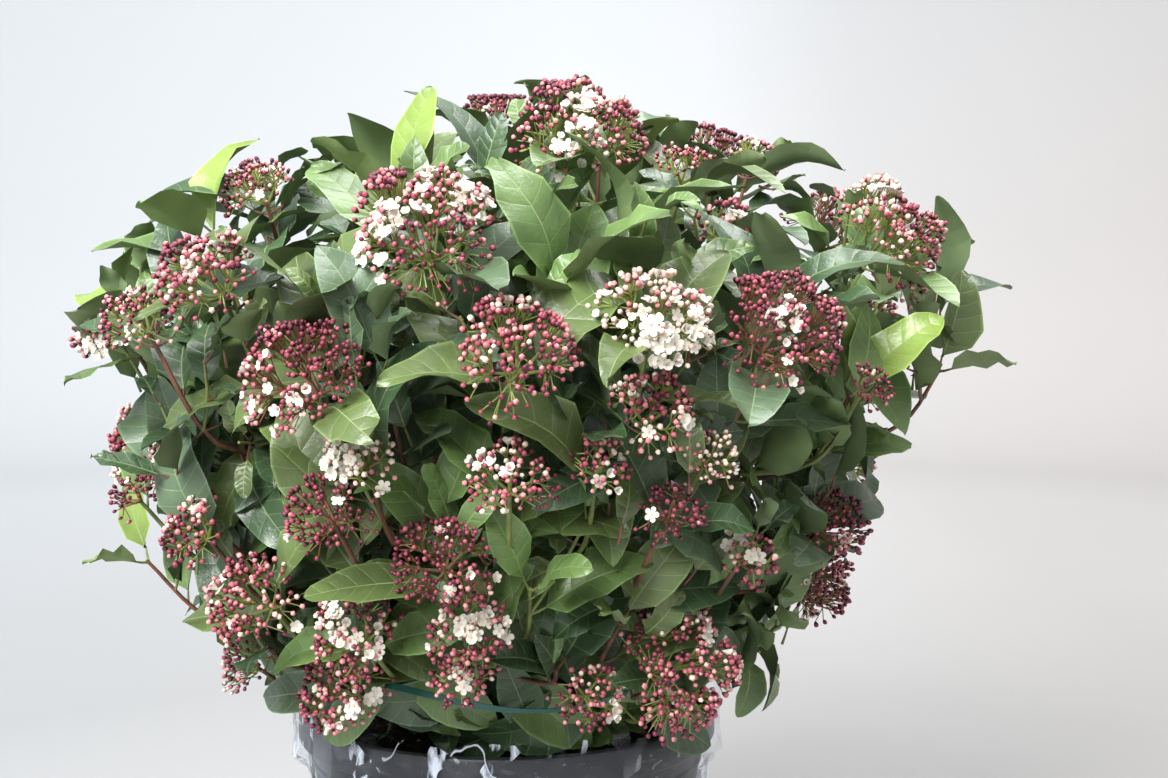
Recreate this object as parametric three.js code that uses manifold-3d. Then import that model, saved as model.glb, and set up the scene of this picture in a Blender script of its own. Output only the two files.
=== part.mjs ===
// A laurustinus in flower in a black plastic pot, with a clear film sleeve round the pot and a
// green tie round the foot of the bunch. Millimetres, +Z up. The origin is the centre of the pot's
// flat underside, and the side that faces -Y is the front.
//
// The plant is a short woody foot that forks into boughs. Each bough carries one mass of foliage:
// a stem that divides into shoots, each shoot with pairs of leaves set crosswise, and a domed
// flower head or a tuft of leaves at its tip.
import * as THREE from "three";
import { mergeVertices } from "three/addons/utils/BufferGeometryUtils.js";
import Module from "manifold-3d";

const wasm = await Module();
wasm.setup();

// Driving dimensions
const CLEARANCE = 0.3;
const SLIVER = 0.2;
const GRID = 0.005;
const ROUND_SIDES = 30;
const LOOP_SIDES = 36;
const POT = { height: 230, footRadius: 105, shoulderRadius: 132, rimRadius: 140, rimDepth: 22, wall: 2.5 };
const COMPOST_TOP = 212;
const FILM = { thickness: 0.8, foot: 4, top: 240, footSlack: 8, rimSlack: 1.8, folds: 9, drawnUp: 24, tieGap: 0.4 };
const TIE = { radius: 146, height: 265, width: 4, thickness: 1.2, sags: 4, sagAt: 12, sagDepth: 6.5 };
const STEM = { flareRadius: 29, neckRadius: 18, knuckleRadius: 21, top: 284, lean: 3, gap: 0.5 };
const FORK_HEIGHT = 262;
const BOUGH = { rootRadius: 3.4, tipRadius: 2.7, sides: 4, steps: 2, tipAt: 0.84, tipGap: 0.5, rise: 0.14 };
const BOUGH_ROOT = { lowest: 234, perDegree: 0.56, out: 8 };
const TWIG = { leaderRadius: 2.7, sideRadius: 1.5, tipRadius: 1.6, point: 12, sides: 4, steps: 2 };
const SHOOT = { upturn: 0.34, arch: 0.45, firstFork: 0.2, lastFork: 0.6 };
const LEAF = { length: 75, halfWidth: 0.26, fullness: 0.05, thickness: 1.8, camber: 0.1, rootAhead: 0.8, lowest: 246 };
const PAIRS = {
  first: 9,
  spacing: 27,
  underHead: 3,
  onLeafy: 4,
  headSpread: 62,
  leafySpread: 38,
  spreadMore: 12,
  droop: 0.04,
};
const HEAD = { dome: 0.2, funnel: 0.3, unevenness: 0.1, neck: 3, tries: [1, 0.85, 0.7] };
const CROWN = {
  lowReach: 172,
  fullReach: 405,
  fullLift: 45,
  flare: 1.6,
  flatten: 30,
  depthShare: 0.88,
  even: 0.97,
  lean: 0.05,
  margin: 1.07,
};

// Where the masses and their shoots are. aim is the bearing and lift of a mass, seen from the fork:
// bearing 0 is the front and 90 the right, and lift is the angle above level. A shoot is its
// bearing, its lift, its reach from the fork to the tip, the width of its flower head and its
// bloom. A leafy shoot has no head.
const MASSES = {
  top: {
    aim: [20, 80],
    shoots: [
      [-170, 86, 371, 58, "dark"],
      [20, 67, 386, 80, "mixed"],
      [0, 70, 374, 0, "leaf"],
      [70, 79, 362, 36, "dusky"],
      [-80, 77, 362, 0, "leaf"],
      [110, 78, 362, 0, "young"],
    ],
  },
  top_right: {
    aim: [72, 64],
    shoots: [
      [80, 70, 356, 42, "dusky"],
      [60, 60, 336, 46, "mixed"],
      [103, 63, 384, 34, "dusky"],
      [25, 58, 364, 0, "leaf"],
    ],
  },
  top_left: {
    aim: [-24, 58],
    shoots: [
      [-8, 53, 378, 84, "mixed"],
      [-24, 65, 378, 0, "young"],
      [-62, 62, 362, 44, "dusky"],
      [-26, 50, 360, 0, "leaf"],
    ],
  },
  right_shoulder: {
    aim: [76, 44],
    shoots: [
      [69, 49, 396, 76, "pink"],
      [76, 37, 388, 0, "leaf"],
      [84, 42, 416, 0, "leaf"],
    ],
  },
  front_right: {
    aim: [44, 42],
    shoots: [
      [36, 42, 366, 74, "red"],
      [47, 50, 374, 0, "leaf"],
      [52, 36, 338, 28, "brown"],
      [56, 39, 354, 0, "young"],
    ],
  },
  front_upper: {
    aim: [17, 44],
    shoots: [
      [20, 43, 366, 60, "white"],
      [11, 51, 370, 0, "leaf"],
      [20, 37, 326, 46, "pink"],
    ],
  },
  front_middle: {
    aim: [3, 36],
    shoots: [
      [4, 41, 356, 66, "rose"],
      [3, 32, 304, 46, "pink"],
      [-7, 33, 298, 0, "leaf"],
      [13, 39, 336, 0, "leaf"],
      [14, 33, 300, 32, "pink"],
    ],
  },
  front_left: {
    aim: [-16, 38],
    shoots: [
      [-21, 40, 346, 70, "red"],
      [-13, 43, 362, 0, "leaf"],
      [-15, 34, 306, 40, "white"],
    ],
  },
  left_shoulder: {
    aim: [-54, 48],
    shoots: [
      [-36, 46, 376, 60, "rose"],
      [-45, 41, 368, 42, "dusky"],
      [-66, 56, 384, 0, "young"],
      [-76, 44, 372, 0, "young"],
    ],
  },
  left_middle: {
    aim: [-44, 28],
    shoots: [
      [-48, 33, 326, 0, "leaf"],
      [-20, 29, 290, 46, "crimson"],
      [-44, 26, 276, 40, "rose"],
      [-62, 27, 284, 26, "dark"],
      [-70, 22, 290, 0, "young"],
    ],
  },
  low_left: {
    aim: [-34, 15],
    shoots: [
      [-36, 20, 250, 56, "rose"],
      [-46, 16, 236, 0, "leaf"],
      [-50, 8, 206, 34, "dusky"],
      [-21, 17, 228, 52, "mixed"],
      [-29, 8, 196, 54, "rose"],
    ],
  },
  low_front: {
    aim: [1, 16],
    shoots: [
      [-6, 26, 266, 54, "crimson"],
      [-3, 18, 232, 46, "mixed"],
      [-5, 11, 202, 36, "rose"],
      [-10, 8, 184, 0, "leaf"],
      [9, 5, 182, 0, "leaf"],
      [6, 26, 272, 0, "leaf"],
      [12, 16, 214, 0, "leaf"],
    ],
  },
  low_right: {
    aim: [28, 13],
    shoots: [
      [33, 13, 216, 76, "rose"],
      [37, 3, 182, 46, "rose"],
      [18, 7, 188, 40, "pink"],
      [22, 22, 246, 0, "leaf"],
      [27, 5, 180, 0, "leaf"],
    ],
  },
  right_middle: {
    aim: [44, 27],
    shoots: [
      [24, 29, 284, 36, "crimson"],
      [28, 33, 306, 32, "green"],
      [38, 24, 262, 34, "mixed"],
      [62, 26, 262, 46, "crimson"],
      [64, 16, 236, 0, "leaf"],
      [58, 32, 312, 0, "leaf"],
    ],
  },
};

// The sides and the back, which follow one plan: masses in rings of even spacing, each with a
// sunflower pattern of shoots about its aim.
const BACK_RINGS = [
  { name: "back_low", lift: 15, bearings: [84, 120, 156, 197, 236, 274], shoots: 4, spreadBearing: 14, spreadLift: 9 },
  { name: "back_upper", lift: 40, bearings: [105, 155, 205, 255, 294], shoots: 4, spreadBearing: 17, spreadLift: 12 },
  { name: "back_top", lift: 66, bearings: [150, 240], shoots: 5, spreadBearing: 34, spreadLift: 11 },
];
const BACK_BLOOMS = ["rose", "leaf", "mixed", "red", "leaf", "pink", "dusky", "white", "leaf", "dark"];
const BACK_HEADS = { least: 40, range: 34 };
const GOLDEN_TURN = 137.5;

const COLOURS = {
  pot: { color: 0x1b1c20, roughness: 0.55, metalness: 0 },
  compost: { color: 0x3a2a20, roughness: 1, metalness: 0 },
  film: { color: 0xe6edf2, roughness: 0.12, metalness: 0, transparent: true, opacity: 0.25 },
  tie: { color: 0x2f7f72, roughness: 0.45, metalness: 0 },
  bark: { color: 0x5b4535, roughness: 0.85, metalness: 0 },
  foliage: { color: 0x2f5a36, roughness: 0.5, metalness: 0 },
};

const radians = THREE.MathUtils.degToRad;
const UP = new THREE.Vector3(0, 0, 1);
const FORK = new THREE.Vector3(0, 0, FORK_HEIGHT);

// A seeded stream of numbers from 0 to 1.
function seeded(seed) {
  let state = (Math.imul(seed, 2654435) + 97) >>> 0;
  const draw = () => {
    state = (Math.imul(state, 1664525) + 1013904223) >>> 0;
    return state / 4294967296;
  };
  draw();
  draw();
  return draw;
}

// The unit vector at a bearing and a lift.
function heading(bearing, lift) {
  const [b, l] = [radians(bearing), radians(lift)];
  return new THREE.Vector3(Math.sin(b) * Math.cos(l), -Math.cos(b) * Math.cos(l), Math.sin(l));
}

// How far the crown reaches from the fork in a direction. It widens from the pot like a vase, up to
// its widest lift, and is domed above that. It is a little shallower than wide, and leans to the right.
function crownReach(bearing, lift) {
  const share = THREE.MathUtils.clamp(lift / CROWN.fullLift, 0, 1);
  const past = Math.max(0, lift - CROWN.fullLift) / (90 - CROWN.fullLift);
  const round = THREE.MathUtils.lerp(CROWN.lowReach, CROWN.fullReach, share ** CROWN.flare);
  const way = heading(bearing, lift);
  const squeeze = Math.hypot(way.x, way.y / CROWN.depthShare, way.z);
  const lean = CROWN.even + CROWN.lean * Math.sin(radians(bearing));
  return ((round - CROWN.flatten * past) * lean) / squeeze;
}

// True if a place is within the crown's reach or a little over it, or within a reach of its own.
function inCrown(place, ownReach) {
  const out = place.clone().sub(FORK);
  const bearing = THREE.MathUtils.radToDeg(Math.atan2(out.x, -out.y));
  const lift = THREE.MathUtils.radToDeg(Math.asin(out.z / out.length()));
  return out.length() < Math.max(CROWN.margin * crownReach(bearing, lift), ownReach);
}

// Solids

function solidOf(geometry) {
  geometry.deleteAttribute("normal");
  geometry.deleteAttribute("uv");
  const merged = mergeVertices(geometry, 1e-3);
  const corners = [...merged.index.array];
  const faces = Array.from({ length: corners.length / 3 }, (_, n) => corners.slice(3 * n, 3 * n + 3));
  return new wasm.Manifold(
    new wasm.Mesh({
      numProp: 3,
      vertProperties: merged.attributes.position.array,
      triVerts: new Uint32Array(faces.filter((face) => new Set(face).size === 3).flat()),
    }),
  );
}

function geometryOf(solid) {
  const mesh = solid.getMesh();
  const geometry = new THREE.BufferGeometry();
  geometry.setAttribute("position", new THREE.BufferAttribute(mesh.vertProperties, mesh.numProp));
  geometry.setIndex(new THREE.BufferAttribute(mesh.triVerts, 1));
  geometry.computeVertexNormals();
  return geometry;
}

// The largest closed body of a join: its sealed hollows are filled and loose scraps dropped.
function largestBody(solid) {
  const bodies = solid.decompose().sort((a, b) => b.volume() - a.volume());
  return bodies[0];
}

// Moves every vertex of a geometry by a function of its place.
function reshape(geometry, move) {
  const position = geometry.attributes.position;
  const place = new THREE.Vector3();
  for (let i = 0; i < position.count; i++) {
    place.fromBufferAttribute(position, i);
    const moved = move(place);
    position.setXYZ(i, moved.x, moved.y, moved.z);
  }
  return geometry;
}

// True if just two faces meet at every edge, an edge being told by the places of its ends.
function isClosed(solid) {
  const { vertProperties, triVerts, numProp } = solid.getMesh();
  const place = (corner) => vertProperties.slice(numProp * corner, numProp * corner + 3).join();
  const faces = new Map();
  triVerts.forEach((corner, n) => {
    const next = triVerts[n % 3 === 2 ? n - 2 : n + 1];
    const edge = [place(corner), place(next)].sort().join(" ");
    faces.set(edge, (faces.get(edge) ?? 0) + 1);
  });
  return [...faces.values()].every((count) => count === 2);
}

// A solid's largest body without the slivers that crossing faces leave, its corners put on a fine
// grid, or nothing if that doesn't leave it closed.
function tidied(solid) {
  const onGrid = (value) => Math.round(value / GRID) * GRID;
  const body = largestBody(solid.simplify(SLIVER));
  const moved = reshape(geometryOf(body), (p) => new THREE.Vector3(...p.toArray().map(onGrid)));
  const result = solidOf(moved);
  return isClosed(result) && result.decompose().length === 1 ? result : null;
}

// A round body about +Z, from a profile of [radius, height] points.
function turned(profile, sides = ROUND_SIDES) {
  const points = profile.map(([radius, height]) => new THREE.Vector2(radius, height));
  return new THREE.LatheGeometry(points, sides).rotateX(Math.PI / 2);
}

// The middle of a tube at a share of its length. A tube runs straight between its rings.
function middleAt(curve, share, steps) {
  const ring = Math.min(Math.floor(share * steps), steps - 1);
  return curve.getPoint(ring / steps).lerp(curve.getPoint((ring + 1) / steps), share * steps - ring);
}

// The place on a curve at a share of its length, the way ahead there and two ways across it.
function frameAt(curve, share, steps = TWIG.steps) {
  const chord = new THREE.Vector3().subVectors(curve.getPoint(1), curve.getPoint(0)).normalize();
  const aside = Math.abs(chord.z) < 0.9 ? UP : new THREE.Vector3(1, 0, 0);
  const ahead = curve.getTangent(share);
  const first = new THREE.Vector3().crossVectors(ahead, aside).normalize();
  const second = new THREE.Vector3().crossVectors(first, ahead);
  return { at: middleAt(curve, share, steps), ahead, first, second };
}

// A tapering limb along a curve: a straight tube whose rings are moved onto the curve.
function limb(curve, rootRadius, tipRadius, sides, steps) {
  return reshape(new THREE.CylinderGeometry(1, 1, 1, sides, steps), (p) => {
    const { at, first, second } = frameAt(curve, p.y + 0.5, steps);
    const radius = THREE.MathUtils.lerp(rootRadius, tipRadius, p.y + 0.5);
    return at.addScaledVector(first, p.x * radius).addScaledVector(second, p.z * radius);
  });
}

// Pot, compost, film and tie

function potGeometry() {
  const { height, footRadius, shoulderRadius, rimRadius, rimDepth, wall } = POT;
  return turned([
    [0, 0],
    [footRadius, 0],
    [shoulderRadius, height - rimDepth],
    [rimRadius, height - rimDepth + 2],
    [rimRadius, height - 2],
    [rimRadius - 2, height],
    [rimRadius - 2 * wall, height],
    [shoulderRadius - wall, height - rimDepth],
    [footRadius - wall, wall],
    [0, wall],
  ]);
}

// The pot's inner wall at a height below the rim.
function innerRadius(height) {
  const share = (height - POT.wall) / (POT.height - POT.rimDepth - POT.wall);
  return THREE.MathUtils.lerp(POT.footRadius, POT.shoulderRadius, share) - POT.wall;
}

function compostGeometry() {
  const floor = POT.wall + CLEARANCE;
  return turned([
    [0, floor],
    [innerRadius(floor) - 2 * CLEARANCE, floor],
    [innerRadius(COMPOST_TOP - 6) - 2 * CLEARANCE, COMPOST_TOP - 6],
    [innerRadius(COMPOST_TOP - 6) - 12, COMPOST_TOP],
    [0, COMPOST_TOP],
  ]);
}

// The pot's outside at a height.
function outerRadius(height) {
  if (height > POT.height - POT.rimDepth) return POT.rimRadius;
  return THREE.MathUtils.lerp(POT.footRadius, POT.shoulderRadius, height / (POT.height - POT.rimDepth));
}

// Turns the diagonals of a shell's inner wall, so that both its walls fold along the same lines.
function foldAlike(shell, rows) {
  const { index } = shell;
  for (let quad = 0; quad < index.count / 6; quad++) {
    if (quad % (2 * rows) < rows) continue;
    const [a, b, d, c] = [0, 1, 2, 3].map((n) => index.getX(6 * quad + n));
    [a, b, c, a, c, d].forEach((corner, n) => index.setX(6 * quad + n, corner));
  }
  return shell;
}

// The clear film: a loose wall round the pot that touches the rim between its folds. Its top edge
// is drawn up inside the tie at the back.
function filmGeometry() {
  const { thickness, foot, top, footSlack, rimSlack, folds, drawnUp } = FILM;
  const heights = [foot, POT.height - POT.rimDepth - 4, POT.height - 4];
  const inside = heights.map((height) => [outerRadius(Math.min(height + 8, POT.height)) + 0.6, height]);
  inside.push([TIE.radius - FILM.tieGap - thickness, top]);
  const outside = inside.map(([radius, height]) => [radius + thickness, height]);
  const ring = turned([...outside, ...inside.reverse(), outside[0]], LOOP_SIDES);
  return reshape(foldAlike(ring, outside.length), (p) => {
    const bearing = Math.atan2(p.x, -p.y);
    if (p.z > POT.height) {
      const behind = (1 - Math.cos(bearing - radians(TIE.sagAt))) / 2;
      return new THREE.Vector3(p.x, p.y, p.z + drawnUp * behind * Math.max(0, tieSag(bearing)) ** 2);
    }
    const up = (p.z - foot) / (POT.height - foot);
    const fold = 1 + 0.6 * Math.cos(folds * bearing) + 0.4 * Math.cos(4 * bearing + 1 + 2 * up);
    const slack = THREE.MathUtils.lerp(footSlack, rimSlack, up) * Math.max(0, fold);
    const out = 1 + slack / Math.hypot(p.x, p.y);
    return new THREE.Vector3(p.x * out, p.y * out, p.z);
  });
}

// How far the tie sags at a bearing, from 1 at the lowest to -1.
function tieSag(bearing) {
  return Math.cos(TIE.sags * (bearing - radians(TIE.sagAt)));
}

// The tie: a flat band pulled round the foot of the bunch, that sags between the shoots it hangs on.
function tieGeometry() {
  const { radius, height, width, thickness, sagDepth } = TIE;
  const corners = [
    [radius + thickness, height],
    [radius + thickness, height + width],
    [radius, height + width],
    [radius, height],
    [radius + thickness, height],
  ];
  return reshape(turned(corners, LOOP_SIDES), (p) => {
    const bearing = Math.atan2(p.x, -p.y);
    return new THREE.Vector3(p.x, p.y, p.z - sagDepth * tieSag(bearing));
  });
}

// Main stem and boughs

// The main stem's radius and height, from its flared cut to its rounded top, grown by a margin.
function stemProfile(margin) {
  const { flareRadius, neckRadius, knuckleRadius, top } = STEM;
  const cut = COMPOST_TOP + CLEARANCE;
  return [
    [0, cut - margin],
    [flareRadius + margin, cut - margin],
    [neckRadius + margin, cut + 9],
    [knuckleRadius + margin, FORK_HEIGHT - 14],
    [knuckleRadius - 1 + margin, top - 12 + margin],
    [0.6 * knuckleRadius + margin, top - 3 + margin],
    [0, top + margin],
  ];
}

function stemGeometry(margin = 0) {
  return reshape(turned(stemProfile(margin), 14), (p) => {
    const rise = Math.max(0, p.z - COMPOST_TOP) / (STEM.top - COMPOST_TOP);
    const bearing = Math.atan2(p.x, -p.y);
    const root = 1 + 0.14 * (1 - rise) ** 6 * Math.cos(5 * bearing);
    return new THREE.Vector3(p.x * root + STEM.lean * rise, p.y * root, p.z);
  });
}

// The curve from the main stem to where a mass divides into shoots. It leaves steeply and bends out.
function boughCurve(mass) {
  const [bearing, lift] = mass.aim;
  const root = heading(bearing, 0).multiplyScalar(BOUGH_ROOT.out * Math.cos(radians(lift)));
  root.z = BOUGH_ROOT.lowest + BOUGH_ROOT.perDegree * lift;
  const fork = FORK.clone().addScaledVector(heading(bearing, lift), 0.5 * crownReach(bearing, lift));
  const middle = root.clone().lerp(fork, 0.5);
  middle.z += BOUGH.rise * root.distanceTo(fork);
  return new THREE.QuadraticBezierCurve3(root, middle, fork);
}

// The stretch of a curve between two shares of its length.
function stretch(curve, from, to) {
  const points = [0, 0.5, 1].map((share) => curve.getPoint(THREE.MathUtils.lerp(from, to, share)));
  const middle = points[1].clone().multiplyScalar(2).addScaledVector(points[0], -0.5).addScaledVector(points[2], -0.5);
  return new THREE.QuadraticBezierCurve3(points[0], middle, points[2]);
}

function boughGeometry(mass) {
  const { rootRadius, tipRadius, sides, steps, tipAt } = BOUGH;
  return limb(stretch(boughCurve(mass), 0, tipAt), rootRadius, tipRadius, sides, steps);
}

// Shoots, leaves and flower heads

// A shoot's curve, through its root or roots to the underside of its flower head. It arrives
// facing outwards and a little up.
function shootOf([bearing, lift, reach, width, bloom], roots) {
  const outward = heading(bearing, lift);
  const facing = outward.clone().lerp(UP, SHOOT.upturn).normalize();
  const crown = width ? width * (HEAD.dome + HEAD.funnel) : LEAF.length * 0.55;
  const end = FORK.clone().addScaledVector(outward, reach).addScaledVector(facing, -crown);
  const bend = end.clone().addScaledVector(facing, -SHOOT.arch * end.distanceTo(roots.at(-1)));
  return { curve: new THREE.CatmullRomCurve3([...roots, bend, end]), facing, reach, width, bloom };
}

// The shoots of a mass. The one nearest to the middle of the mass leads on from the stem, and the
// others leave it one after another, the widest of them first.
function shootsOf(mass, stem) {
  const middle = heading(...mass.aim);
  const rows = [...mass.shoots].sort((a, b) => heading(...a).angleTo(middle) - heading(...b).angleTo(middle));
  const leader = shootOf(rows[0], stem);
  const sides = rows.slice(1).map((row, n) => {
    const share = SHOOT.lastFork - ((SHOOT.lastFork - SHOOT.firstFork) * n) / rows.length;
    return shootOf(row, [middleAt(leader.curve, share, TWIG.steps)]);
  });
  return [leader, ...sides];
}

// A leaf of eight faces: a flattened four-sided sphere, drawn out to the leaf's length and width.
// way runs from root to tip and face is the way that the upper side looks.
function leafGeometry(root, way, face, length) {
  const aside = new THREE.Vector3().crossVectors(way, face);
  return reshape(new THREE.SphereGeometry(1, 4, 2), (p) => {
    const along = (p.x + 1) / 2 - LEAF.fullness * Math.abs(p.z);
    const across = p.z * LEAF.halfWidth * length;
    const height = LEAF.camber * length * (Math.sin(Math.PI * along * 0.9) - along) + (p.y * LEAF.thickness) / 2;
    return root.clone().addScaledVector(way, along * length).addScaledVector(aside, across).addScaledVector(face, height);
  });
}

// The leaves of a shoot, in pairs set crosswise from the tip down.
function leavesOf(shoot, draw) {
  const long = shoot.curve.getLength();
  const leaves = [];
  let turn = 45 + 90 * Math.round(3 * draw());
  const most = shoot.width ? PAIRS.underHead : PAIRS.onLeafy;
  const spread = shoot.width ? PAIRS.headSpread : PAIRS.leafySpread;
  for (let pair = 0; pair < most; pair++) {
    const back = PAIRS.first + pair * PAIRS.spacing * (0.85 + 0.3 * draw());
    const share = 1 - back / long;
    turn += 90;
    for (const side of [0, 180]) {
      const size = LEAF.length * (0.86 + 0.28 * draw());
      const open = spread + pair * PAIRS.spreadMore + 14 * (draw() - 0.5);
      if (share > 0.12) leaves.push({ share, turn: turn + side, size, open, pair });
    }
  }
  return leaves;
}

// Where a leaf is. One near the pot lifts its tip clear of the film and the tie.
function leafPlace(shoot, leaf, opening, growth) {
  const { at, ahead, first, second } = frameAt(shoot.curve, leaf.share);
  const [turn, open] = [radians(leaf.turn), radians(leaf.open * opening)];
  const out = first.multiplyScalar(Math.cos(turn)).addScaledVector(second, Math.sin(turn));
  const way = ahead.clone().multiplyScalar(Math.cos(open)).addScaledVector(out, Math.sin(open));
  way.z -= PAIRS.droop * (1 + leaf.pair);
  way.z = Math.max(way.z, (LEAF.lowest - at.z) / leaf.size);
  way.normalize();
  const face = ahead.clone().lerp(shoot.facing, 0.5);
  face.addScaledVector(way, -face.dot(way)).normalize();
  return { root: at.addScaledVector(way, LEAF.rootAhead), way, face, length: leaf.size * growth };
}

// A twig and the flower head that it opens into: a funnel under a low dome, its rim a little
// uneven. A twig with no head ends in a point. The head has twice as many sides as the twig, so
// every other side closes up along the twig.
function twigGeometry(shoot, rootRadius, draw) {
  const { curve, facing, width } = shoot;
  const { dome, funnel, unevenness } = HEAD;
  const crown = width
    ? [
        [0.5 * width, funnel * width],
        [0.36 * width, (funnel + 0.72 * dome) * width],
        [0, (funnel + dome) * width],
      ]
    : [[0, TWIG.point]];
  const rings = Array.from({ length: TWIG.steps + 1 }, (_, n) => [
    THREE.MathUtils.lerp(rootRadius, TWIG.tipRadius, n / TWIG.steps),
    n / TWIG.steps,
  ]);
  const profile = [[0, 0], ...rings, ...crown.map(([radius, rise]) => [radius, 1 + rise])];
  const swell = Array.from({ length: 2 * TWIG.sides }, () => 1 + unevenness * (2 * draw() - 1));
  return reshape(turned(profile, 2 * TWIG.sides), (p) => {
    const { at, first, second } = frameAt(curve, THREE.MathUtils.clamp(p.z, 0, 1));
    const radius = Math.hypot(p.x, p.y);
    const side = Math.round((Math.atan2(p.y, p.x) / Math.PI + 2) * TWIG.sides) % (2 * TWIG.sides);
    const onHead = p.z > 1;
    const turn = ((onHead ? side : side - (side % 2)) * Math.PI) / TWIG.sides;
    if (onHead) at.addScaledVector(facing, p.z - 1);
    const out = radius * (onHead ? swell[side] : 1);
    return at.addScaledVector(second, out * Math.cos(turn)).addScaledVector(first, out * Math.sin(turn));
  });
}

// Every mass by name: those of the plan, then those of the rings at the sides and back.
function allMasses() {
  const masses = Object.entries(MASSES).map(([name, plan]) => ({ name, ...plan }));
  for (const ring of BACK_RINGS) {
    ring.bearings.forEach((bearing, place) => {
      const draw = seeded(500 + masses.length);
      const shoots = Array.from({ length: ring.shoots }, (_, n) => {
        const turn = radians(GOLDEN_TURN * n + 40 * place);
        const far = Math.sqrt((n + 0.6) / ring.shoots);
        const at = [
          bearing + ring.spreadBearing * far * Math.cos(turn),
          ring.lift + ring.spreadLift * far * Math.sin(turn),
        ];
        const bloom = BACK_BLOOMS[(masses.length * 3 + n) % BACK_BLOOMS.length];
        const width = bloom === "leaf" ? 0 : BACK_HEADS.least + BACK_HEADS.range * draw();
        return [...at, crownReach(...at) * (0.95 + 0.07 * draw()), width, bloom];
      });
      masses.push({ name: `${ring.name}_${place + 1}`, aim: [bearing, ring.lift], shoots });
    });
  }
  return masses;
}

// What has grown so far: each small solid with the name of the node that owns it.
const grown = [];

function boxesMeet(a, b) {
  return [0, 1, 2].every((i) => a.min[i] - 1 < b.max[i] && b.min[i] - 1 < a.max[i]);
}

// Keeps a solid of a node, with what else it belongs to: its shoot, and for a leaf its pair.
function keep(owner, solid, kind, shoot = "", pair = "") {
  grown.push({ owner, solid, kind, shoot, pair, box: solid.boundingBox() });
}

// The first kept solid that a solid comes too near to, leaving out the ones that allowed accepts.
function touched(solid, allowed) {
  const box = solid.boundingBox();
  return grown.find(
    (other) =>
      !allowed(other) && boxesMeet(box, other.box) && solid.minGap(other.solid, 2 * CLEARANCE) < 0.99 * CLEARANCE,
  );
}

// Keeps a limb that has to be there, and stops the build where it touches another node.
function keepLimb(owner, solid) {
  const other = touched(solid, (it) => it.owner === owner);
  if (other) throw new Error(`${owner} touches ${other.owner}`);
  keep(owner, solid, "limb");
}

// The flower head of a twig by itself.
function headOf(twig, { curve, facing }) {
  return twig.trimByPlane([...facing], curve.getPoint(1).dot(facing) + HEAD.neck);
}

const group = new THREE.Group();

function addNode(name, geometry, look) {
  const mesh = new THREE.Mesh(geometry, new THREE.MeshStandardMaterial(COLOURS[look]));
  mesh.name = name;
  group.add(mesh);
}

function addPotAndStem() {
  const looks = { pot: "pot", compost: "compost", clear_film: "film", green_tie: "tie", main_stem: "bark" };
  const shapes = {
    pot: potGeometry(),
    compost: compostGeometry(),
    clear_film: filmGeometry(),
    green_tie: tieGeometry(),
    main_stem: stemGeometry(),
  };
  for (const [name, geometry] of Object.entries(shapes)) {
    const solid = solidOf(geometry);
    keepLimb(name, solid);
    addNode(name, geometryOf(solid), looks[name]);
  }
}

function addBoughs(masses) {
  const round = solidOf(stemGeometry(STEM.gap));
  for (const mass of masses) {
    const name = `bough_${mass.name}`;
    const solid = largestBody(solidOf(boughGeometry(mass)).subtract(round));
    keepLimb(name, solid);
    addNode(name, geometryOf(solid), "bark");
  }
}

// The twigs and flower heads of a mass, grown before any leaves, so that no leaf takes their room.
// A head that finds no room is tried smaller, and a shoot that still touches another is skipped.
function growWood(mass) {
  const name = `foliage_${mass.name}`;
  const curve = boughCurve(mass);
  const stem = [BOUGH.tipAt + BOUGH.tipGap / curve.getLength(), 1].map((share) => curve.getPoint(share));
  const isOwnTwig = (it) => it.owner === name && it.kind === "limb";
  mass.body = null;
  mass.grownShoots = [];
  shootsOf(mass, stem).forEach((shoot, n) => {
    for (const growth of HEAD.tries) {
      const draw = seeded(1000 * (mass.number + 1) + n);
      const tried = { ...shoot, width: shoot.width * growth };
      const twig = solidOf(twigGeometry(tried, n ? TWIG.sideRadius : TWIG.leaderRadius, draw));
      const joined = mass.body ? mass.body.add(twig) : twig;
      if (touched(twig, isOwnTwig) || !tidied(joined)) continue;
      keep(name, twig, "limb", n);
      if (shoot.width) keep(name, headOf(twig, shoot), "head", n);
      mass.body = joined;
      mass.grownShoots.push({ shoot: tried, leaves: leavesOf(tried, draw), number: n });
      return;
    }
  });
}

// How far a leaf opens and how long it grows, as shares of what it would, for its first try and
// the tries that follow a leaf that finds no room.
const TRIES = [
  [1, 1],
  [0.75, 1],
  [1.25, 0.95],
  [0.5, 0.9],
  [1.1, 0.75],
  [0.45, 0.7],
];

function growLeaves(mass) {
  const name = `foliage_${mass.name}`;
  for (const { shoot, leaves, number } of mass.grownShoots) {
    for (const leaf of leaves) {
      const isOwn = (it) => it.owner === name && it.shoot === number && (it.kind === "limb" || it.pair === leaf.pair);
      const ownReach = leaf.pair ? 0 : shoot.reach;
      const found = TRIES.map(([opening, growth]) => leafPlace(shoot, leaf, opening, growth))
        .filter(({ root, way, length }) => inCrown(root.clone().addScaledVector(way, length), ownReach))
        .map(({ root, way, face, length }) => solidOf(leafGeometry(root, way, face, length)))
        .find((solid) => !touched(solid, isOwn) && tidied(mass.body.add(solid)));
      if (found) {
        mass.body = mass.body.add(found);
        keep(name, found, "leaf", number, leaf.pair);
      }
    }
  }
}

const masses = allMasses().map((mass, number) => ({ ...mass, number }));
addPotAndStem();
addBoughs(masses);
masses.forEach(growWood);
masses.forEach(growLeaves);
for (const mass of masses) {
  addNode(`foliage_${mass.name}`, geometryOf(tidied(mass.body)), "foliage");
}

export default group;
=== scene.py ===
import functools
import math

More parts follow.
